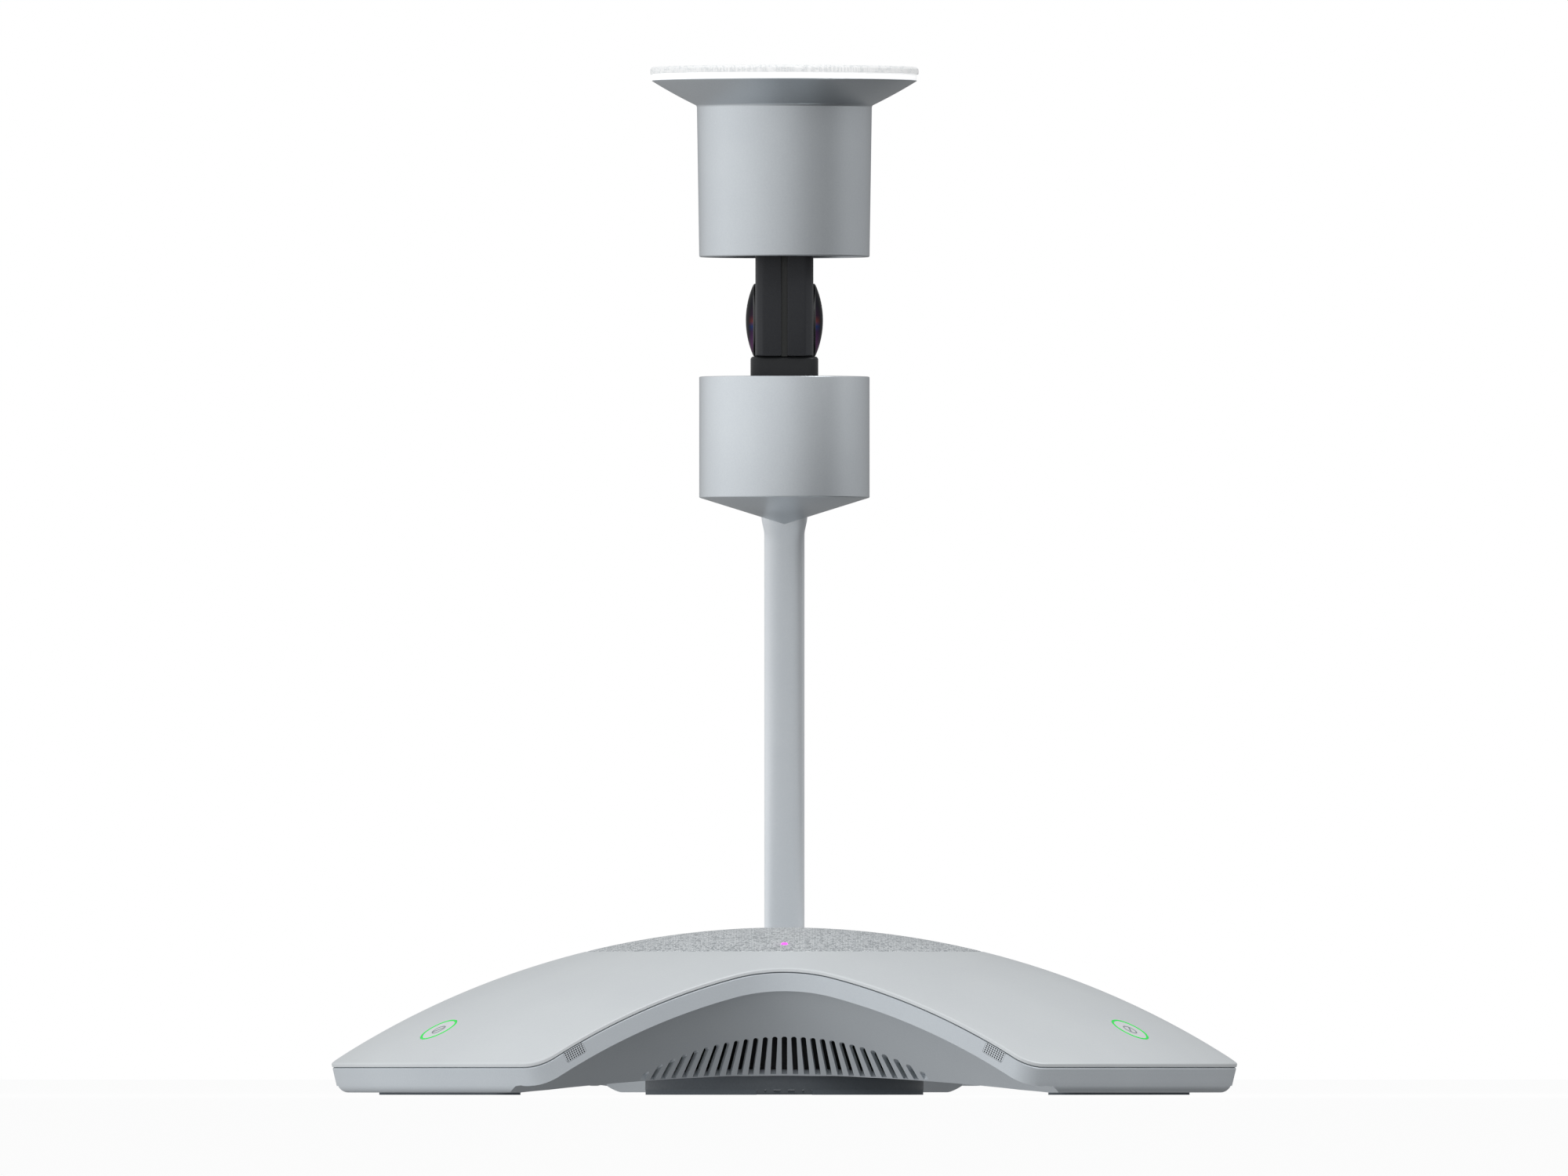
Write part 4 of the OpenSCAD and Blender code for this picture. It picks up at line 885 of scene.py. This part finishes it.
def add_mic(name, turn, side, node):
    """A microphone's plate: its grid of holes, the face round the grid, and the sides and back."""
    points, faces, dark, rim, back, inner = hole_plate(mic_place(turn, side))
    mesh = bpy.data.meshes.new(name)
    mesh.from_pydata([[c * MM for c in p] for p in points], [], faces)
    # The hole walls and floors take the dark material: painted shade in the holes
    for k in dark:
        mesh.polygons[k].material_index = 1
    bm = bmesh.new()
    bm.from_mesh(mesh)
    bm.verts.ensure_lookup_table()
    edges = []
    for loop in (rim, inner):
        for a, b in zip(loop, loop[1:] + loop[:1]):
            va, vb = bm.verts[a], bm.verts[b]
            edges.append(bm.edges.get((va, vb)) or bm.edges.new((va, vb)))
    bmesh.ops.triangle_fill(bm, use_beauty=True, use_dissolve=False, edges=edges)
    for a, b, c, d in zip(rim, rim[1:] + rim[:1], back[1:] + back[:1], back):
        bm.faces.new([bm.verts[v] for v in (a, b, c, d)])
    bm.faces.new([bm.verts[v] for v in back])
    bmesh.ops.recalc_face_normals(bm, faces=bm.faces)
    bm.to_mesh(mesh)
    bm.free()
    mesh.set_sharp_from_angle(angle=math.radians(30))
    obj = link(name, mesh)
    mesh.materials.append(M["mic_grille"])
    mesh.materials.append(M["mic_hole"])
    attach(obj, "base")
    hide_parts(node)


for i, (turn, side) in enumerate([(t, s) for t in ARMS for s in (-1, 1)]):
    add_mic("mic_plate_%d" % (i + 1), turn, side, "mic_grille_%d" % (i + 1))

# Neck

# The neck's foot from the middle, the half sizes of its section, and how square the section is
NECK_S, NECK_W, NECK_D, SQUARE = 90.0, 7.85, 5.5, 2.5
ROOT_Z = float(dome_z(NECK_S))
LEAN_0, LEAN_1 = math.radians(20), math.radians(32)
BEND_R = (CUP_TIP + 2 - ROOT_Z) / (math.sin(LEAN_1) - math.sin(LEAN_0))
AXIS_Y = NECK_S - BEND_R * math.cos(LEAN_0)
AXIS_Z = ROOT_Z - BEND_R * math.sin(LEAN_0)


def neck_ring(a, grow_w, grow_d, n=64):
    """The neck's section at an angle of its bend, wider and deeper by two amounts."""
    ring = []
    for k in range(n):
        t = 2 * math.pi * k / n
        c, s = math.cos(t), math.sin(t)
        x = (NECK_W + grow_w) * math.copysign(abs(c) ** (2 / SQUARE), c)
        d = (NECK_D + grow_d) * math.copysign(abs(s) ** (2 / SQUARE), s)
        r = BEND_R + d
        ring.append(CENTRE + np.array([x, AXIS_Y + r * math.cos(a), AXIS_Z + r * math.sin(a)]))
    return ring


rings = []
for z in list(np.linspace(42.0, 215.0, 44)) + list(np.linspace(216.5, 231.0, 14)):
    a = math.asin((z - AXIS_Z) / BEND_R)
    flare = min(1.0, max(0.0, (z - 218.5) / 7.5))
    flare = flare * flare * (3 - 2 * flare)
    rings.append(neck_ring(a, 1.15 * flare, 0.9 * flare))
points, faces = loft(rings)
piece("neck_tube", points, faces, "neck_metal", replaces=["neck"])

# Head

shape = rounded_line([
    (0, CUP_TIP, 0), (CUP_R, CUP_EDGE, 0.5), (CUP_R, CUP_TOP, 0.45), (CUP_R - HEAD_WALL, CUP_TOP, 0.3),
    (CUP_R - HEAD_WALL, CUP_TOP - 3.0, 0), (CUP_R - HEAD_WALL, CUP_EDGE + HEAD_WALL, 0),
    (0, CUP_TIP + HEAD_WALL, 0)], 6)
points, faces = lathe(shape, 200)
piece("cup_skin", points, faces, "head_shell", replaces=["lower_cup"])


def flare_at(t, inset):
    """A point of the flare under the light ring, as (radius, height), at a share of its rise."""
    return (HOOD_R + (FLARE_R - HOOD_R) * t - inset, HOOD_TOP + 9.8 * (0.87 * t + 0.13 * t * t))


outer = [(CUP_R, HOOD_LOW, 0.6)] + [(HOOD_R, HOOD_TOP, 1.2)] + [flare_at(i / 12, 0) + (0,) for i in range(1, 12)] \
    + [(FLARE_R, FLARE_TOP, 0.12), (FLARE_R - HEAD_WALL, FLARE_TOP, 0)]
inner = [flare_at(i / 12, HEAD_WALL) + (0,) for i in range(11, 0, -1)] \
    + [(31.9, HOOD_TOP, 0), (31.0, HOOD_LOW, 0.35)]
points, faces = lathe(rounded_line(outer + inner, 6), 200)
piece("hood_skin", points, faces, "head_shell", body="hood", replaces=["hood"])

RING_IN, RING_OUT = 40.0, 51.6
shape = rounded_line([
    (RING_IN, FLARE_TOP, 0), (RING_OUT, FLARE_TOP, 0.25), (RING_OUT, RING_TOP, 0.25), (RING_IN, RING_TOP, 0)], 4)
points, faces = lathe(shape, 200)
piece("ring_diffuser", points, faces, "light_ring", body="hood", replaces=["light_ring"])

CAP_R, CROWN_R = FLARE_R + 0.4, 1.3
crown = [(CAP_R, RING_TOP)] + [(CAP_R - CROWN_R + CROWN_R * math.cos(a), CAP_TOP - CROWN_R + CROWN_R * math.sin(a))
                               for a in np.linspace(0.0, math.pi / 2, 9)]
crown += [(r, CAP_TOP) for r in np.linspace(CAP_R - 4, 4, 14)] + [(0.0, CAP_TOP)]
crown += [(0.0, CAP_TOP - CLOTH_T), (CAP_R - 2.1, CAP_TOP - CLOTH_T)]
crown += [(CAP_R - CLOTH_T, CAP_TOP - 1.6), (CAP_R - CLOTH_T, RING_TOP)]
points, faces = lathe(crown, 200)
cap_cloth = piece("crown_cloth", points, faces, "cap_cloth", body="hood", replaces=["top_cloth"])

# Camera


def half_plan(side, grow, steps=8):
    """Half the housing's plan, on one side of the groove."""
    x1, y1, r = HOUSING_X + grow, HOUSING_Y + grow, CORNER_R
    line = rounded_line([(1.2 - grow, -y1, 0.35), (x1, -y1, r), (x1, y1, r), (1.2 - grow, y1, 0.35)], steps)
    return [(side * x, y) for x, y in line]


def upright(plan_at, levels):
    """Stacks plans: levels are (height, inset)."""
    return [[np.array([x, y, z]) + CENTRE for x, y in plan_at(-inset)] for z, inset in levels]


for side, word in ((-1, "left"), (1, "right")):
    low, high = HOUSING_LOW, HOOD_LOW + 20
    levels = [(low, 0.5), (low + 0.15, 0.2), (low + 0.5, 0.0), (high - 0.3, 0.0), (high, 0.3)]
    points, faces = loft(upright(lambda grow: half_plan(side, grow), levels))
    piece("housing_" + word, points, faces, "camera_black", replaces=["camera_" + word])


# The block under the lenses: its half width, and the rounding of its upper edge
BLOCK_X, BLOCK_R = 13.2, 1.3


def block_plan(grow):
    x1, y1 = BLOCK_X + grow, HOUSING_Y - 1.5 + grow
    return box_line(x1, y1, CORNER_R, 8)


low, high = CUP_TOP - 0.4, HOUSING_LOW
levels = [(low, 0.0)] + [(high - BLOCK_R + BLOCK_R * math.sin(a), BLOCK_R - BLOCK_R * math.cos(a))
                         for a in np.linspace(0, math.pi / 2, 7)]
points, faces = loft(upright(block_plan, levels))
piece("housing_block", points, faces, "block_black", replaces=["camera_block"])


def lens_place(side):
    """The place of a lens, with z along its axis and pointing out of the housing."""
    turn = Matrix.Rotation(math.radians(side * 90), 4, "Y")
    return Matrix.Translation(Vector(CENTRE) + Vector((0, 0, LENS_Z))) @ turn


GLASS_R, GLASS_OUT, EYE_R, BEZEL_TOP = 13.7, 2.85, 7.6, HOUSING_X + 0.9
ball_r = (GLASS_R ** 2 + GLASS_OUT ** 2) / (2 * GLASS_OUT)
for side, word in ((-1, "left"), (1, "right")):
    place = lens_place(side)
    shape = rounded_line([
        (2.5, HOUSING_X - 0.3, 0), (14.25, HOUSING_X - 0.3, 0), (14.25, HOUSING_X + 0.35, 0.3),
        (13.75, BEZEL_TOP, 0.15), (12.6, BEZEL_TOP, 0.1), (12.2, HOUSING_X + 0.6, 0.05),
        (10.4, HOUSING_X + 0.6, 0.05), (10.0, HOUSING_X + 0.3, 0.05), (8.4, HOUSING_X + 0.3, 0.05),
        (8.0, HOUSING_X + 0.05, 0), (2.5, HOUSING_X + 0.05, 0)], 4)
    points, faces = lathe(shape, 128, place)
    piece("bezel_" + word, points, faces, "lens_bezel", replaces=["lens_barrel_" + word])
    dome = []
    for k in range(15):
        r = GLASS_R * (1 - k / 14)
        dome.append((r, BEZEL_TOP + GLASS_OUT - ball_r + math.sqrt(ball_r ** 2 - r * r)))
    inside = [(r * 0.955, BEZEL_TOP + (h - BEZEL_TOP) * 0.86 - 0.05) for r, h in dome[::-1]]
    points, faces = lathe(dome + inside, 128, place)
    piece("glass_" + word, points, faces, "lens_glass", replaces=["lens_" + word])
    eye = []
    for k in range(11):
        r = EYE_R * (1 - k / 10)
        eye.append((r, HOUSING_X + 0.1 + 2.1 * (1 - (r / EYE_R) ** 2)))
    points, faces = lathe([(0, HOUSING_X - 0.2), (EYE_R, HOUSING_X - 0.2)] + eye, 96, place)
    piece("eye_" + word, points, faces, "lens_glass")

# Stage, light and camera

floor_mesh = bpy.data.meshes.new("floor")
FLOOR = 40
corners = [(x * FLOOR, y * FLOOR, 0) for x, y in ((-1, -1), (1, -1), (1, 1), (-1, 1))]
floor_mesh.from_pydata(corners, [], [(0, 1, 2, 3)])
floor = link("floor", floor_mesh)
n = Nodes("floor_white")
n.tree.nodes.remove(n.shader)
tree = n.tree
diffuse = tree.nodes.new("ShaderNodeBsdfDiffuse")
diffuse.inputs["Color"].default_value = (0.9, 0.9, 0.9, 1)
glow = tree.nodes.new("ShaderNodeEmission")
glow.inputs["Strength"].default_value = 1.0
blend = tree.nodes.new("ShaderNodeMixShader")
rays = tree.nodes.new("ShaderNodeLightPath")
seen = n.math("MULTIPLY", n.math("MAXIMUM", rays.outputs["Is Camera Ray"],
              n.math("MAXIMUM", rays.outputs["Is Glossy Ray"], rays.outputs["Is Transmission Ray"])), 0.92)
n.join(seen, blend.inputs[0])
n.join(diffuse.outputs[0], blend.inputs[1])
n.join(glow.outputs[0], blend.inputs[2])
n.join(blend.outputs[0], n.out.inputs["Surface"])
floor_mesh.materials.append(n.material)
floor.visible_diffuse = False
floor.visible_glossy = False

scene = bpy.context.scene
world = bpy.data.worlds.new("studio")
scene.world = world
world.use_nodes = True
tree = world.node_tree
tree.nodes.clear()


def world_node(kind, **inputs):
    node = tree.nodes.new(kind)
    for key, value in inputs.items():
        node.inputs[key.replace("_", " ")].default_value = value
    return node


def world_ramp(stops, source, tint=(0.985, 0.995, 1.0)):
    ramp = world_node("ShaderNodeValToRGB")
    for i, (at, level) in enumerate(stops):
        e = ramp.color_ramp.elements[i] if i < 2 else ramp.color_ramp.elements.new(at)
        e.position = at
        e.color = tuple(level * t for t in tint) + (1,)
    tree.links.new(source, ramp.inputs[0])
    return ramp.outputs[0]


def world_range(source, low, high):
    node = world_node("ShaderNodeMapRange")
    for i, v in enumerate((low, high, 0.0, 1.0)):
        node.inputs[i + 1].default_value = v
    tree.links.new(source, node.inputs[0])
    return node.outputs[0]


# Light by direction: one ramp round the horizon for above it, one for below, and a strength by height
place = world_node("ShaderNodeTexCoord")
around = world_node("ShaderNodeTexGradient")
around.gradient_type = "RADIAL"
tree.links.new(place.outputs["Generated"], around.inputs["Vector"])
split = world_node("ShaderNodeSeparateXYZ")
tree.links.new(place.outputs["Generated"], split.inputs[0])
upper = world_ramp([(0.0, 0.95), (0.10, 0.90), (0.25, 0.74), (0.36, 0.38), (0.42, 0.31), (0.50, 0.56),
                    (0.60, 0.44), (0.75, 0.16), (0.90, 0.80), (1.0, 0.95)], around.outputs["Fac"])
lower = world_ramp([(0.0, 0.80), (0.12, 0.60), (0.25, 0.27), (0.36, 0.08), (0.50, 0.05), (0.75, 0.30),
                    (1.0, 0.80)], around.outputs["Fac"])
rise = world_ramp([(0.0, 0.8), (0.30, 1.0), (0.47, 1.12), (0.60, 1.30), (1.0, 1.10)],
                  world_range(split.outputs[2], -1.0, 1.0), (1.0, 1.0, 1.0))
blend = tree.nodes.new("ShaderNodeMix")
blend.data_type = "RGBA"
tree.links.new(world_range(split.outputs[2], -0.35, 0.02), blend.inputs[0])
tree.links.new(lower, blend.inputs[6])
tree.links.new(upper, blend.inputs[7])
light = world_node("ShaderNodeBackground")
tree.links.new(blend.outputs[2], light.inputs["Color"])
tree.links.new(rise, light.inputs["Strength"])
white = world_node("ShaderNodeBackground", Color=(1, 1, 1, 1), Strength=1.0)
rays = world_node("ShaderNodeLightPath")
either = tree.nodes.new("ShaderNodeMath")
either.operation = "MAXIMUM"
tree.links.new(rays.outputs["Is Camera Ray"], either.inputs[0])
tree.links.new(rays.outputs["Is Transmission Ray"], either.inputs[1])
pick = world_node("ShaderNodeMixShader")
tree.links.new(either.outputs[0], pick.inputs[0])
tree.links.new(light.outputs[0], pick.inputs[1])
tree.links.new(white.outputs[0], pick.inputs[2])
out = world_node("ShaderNodeOutputWorld")
tree.links.new(pick.outputs[0], out.inputs["Surface"])


def lamp(name, at, aim, size, power):
    data = bpy.data.lights.new(name, "AREA")
    data.shape = "DISK"
    data.size = size
    data.energy = power
    obj = link(name, data)
    obj.location = at
    obj.rotation_euler = (Vector(aim) - Vector(at)).to_track_quat("-Z", "Y").to_euler()
    obj.visible_camera = False
    return obj


lamp("key", (1.5, -1.1, 1.9), (0, 0, 0.1), 1.3, 21.0)
for name, at, power in (("fill", (1.7, -1.0, 0.6), 0.7), ("low", (-1.5, -1.5, 0.12), 3.2)):
    lamp(name, at, (0, 0, 0.05), 0.8, power).visible_glossy = False

DISTANCE, EYE_H, AIM_H = 20.38, 0.009, 0.1976
camera_data = bpy.data.cameras.new("camera")
camera_data.type = "PERSP"
camera_data.sensor_width = 36.0
camera_data.lens = 1200.0
camera_data.clip_start = 0.5
camera_data.clip_end = 200.0
camera = link("camera", camera_data)
camera.location = (-0.00015, -DISTANCE, EYE_H)
camera.rotation_euler = (math.radians(90) + math.atan2(AIM_H - EYE_H, DISTANCE), 0, 0)
scene.camera = camera

scene.view_settings.view_transform = "Standard"
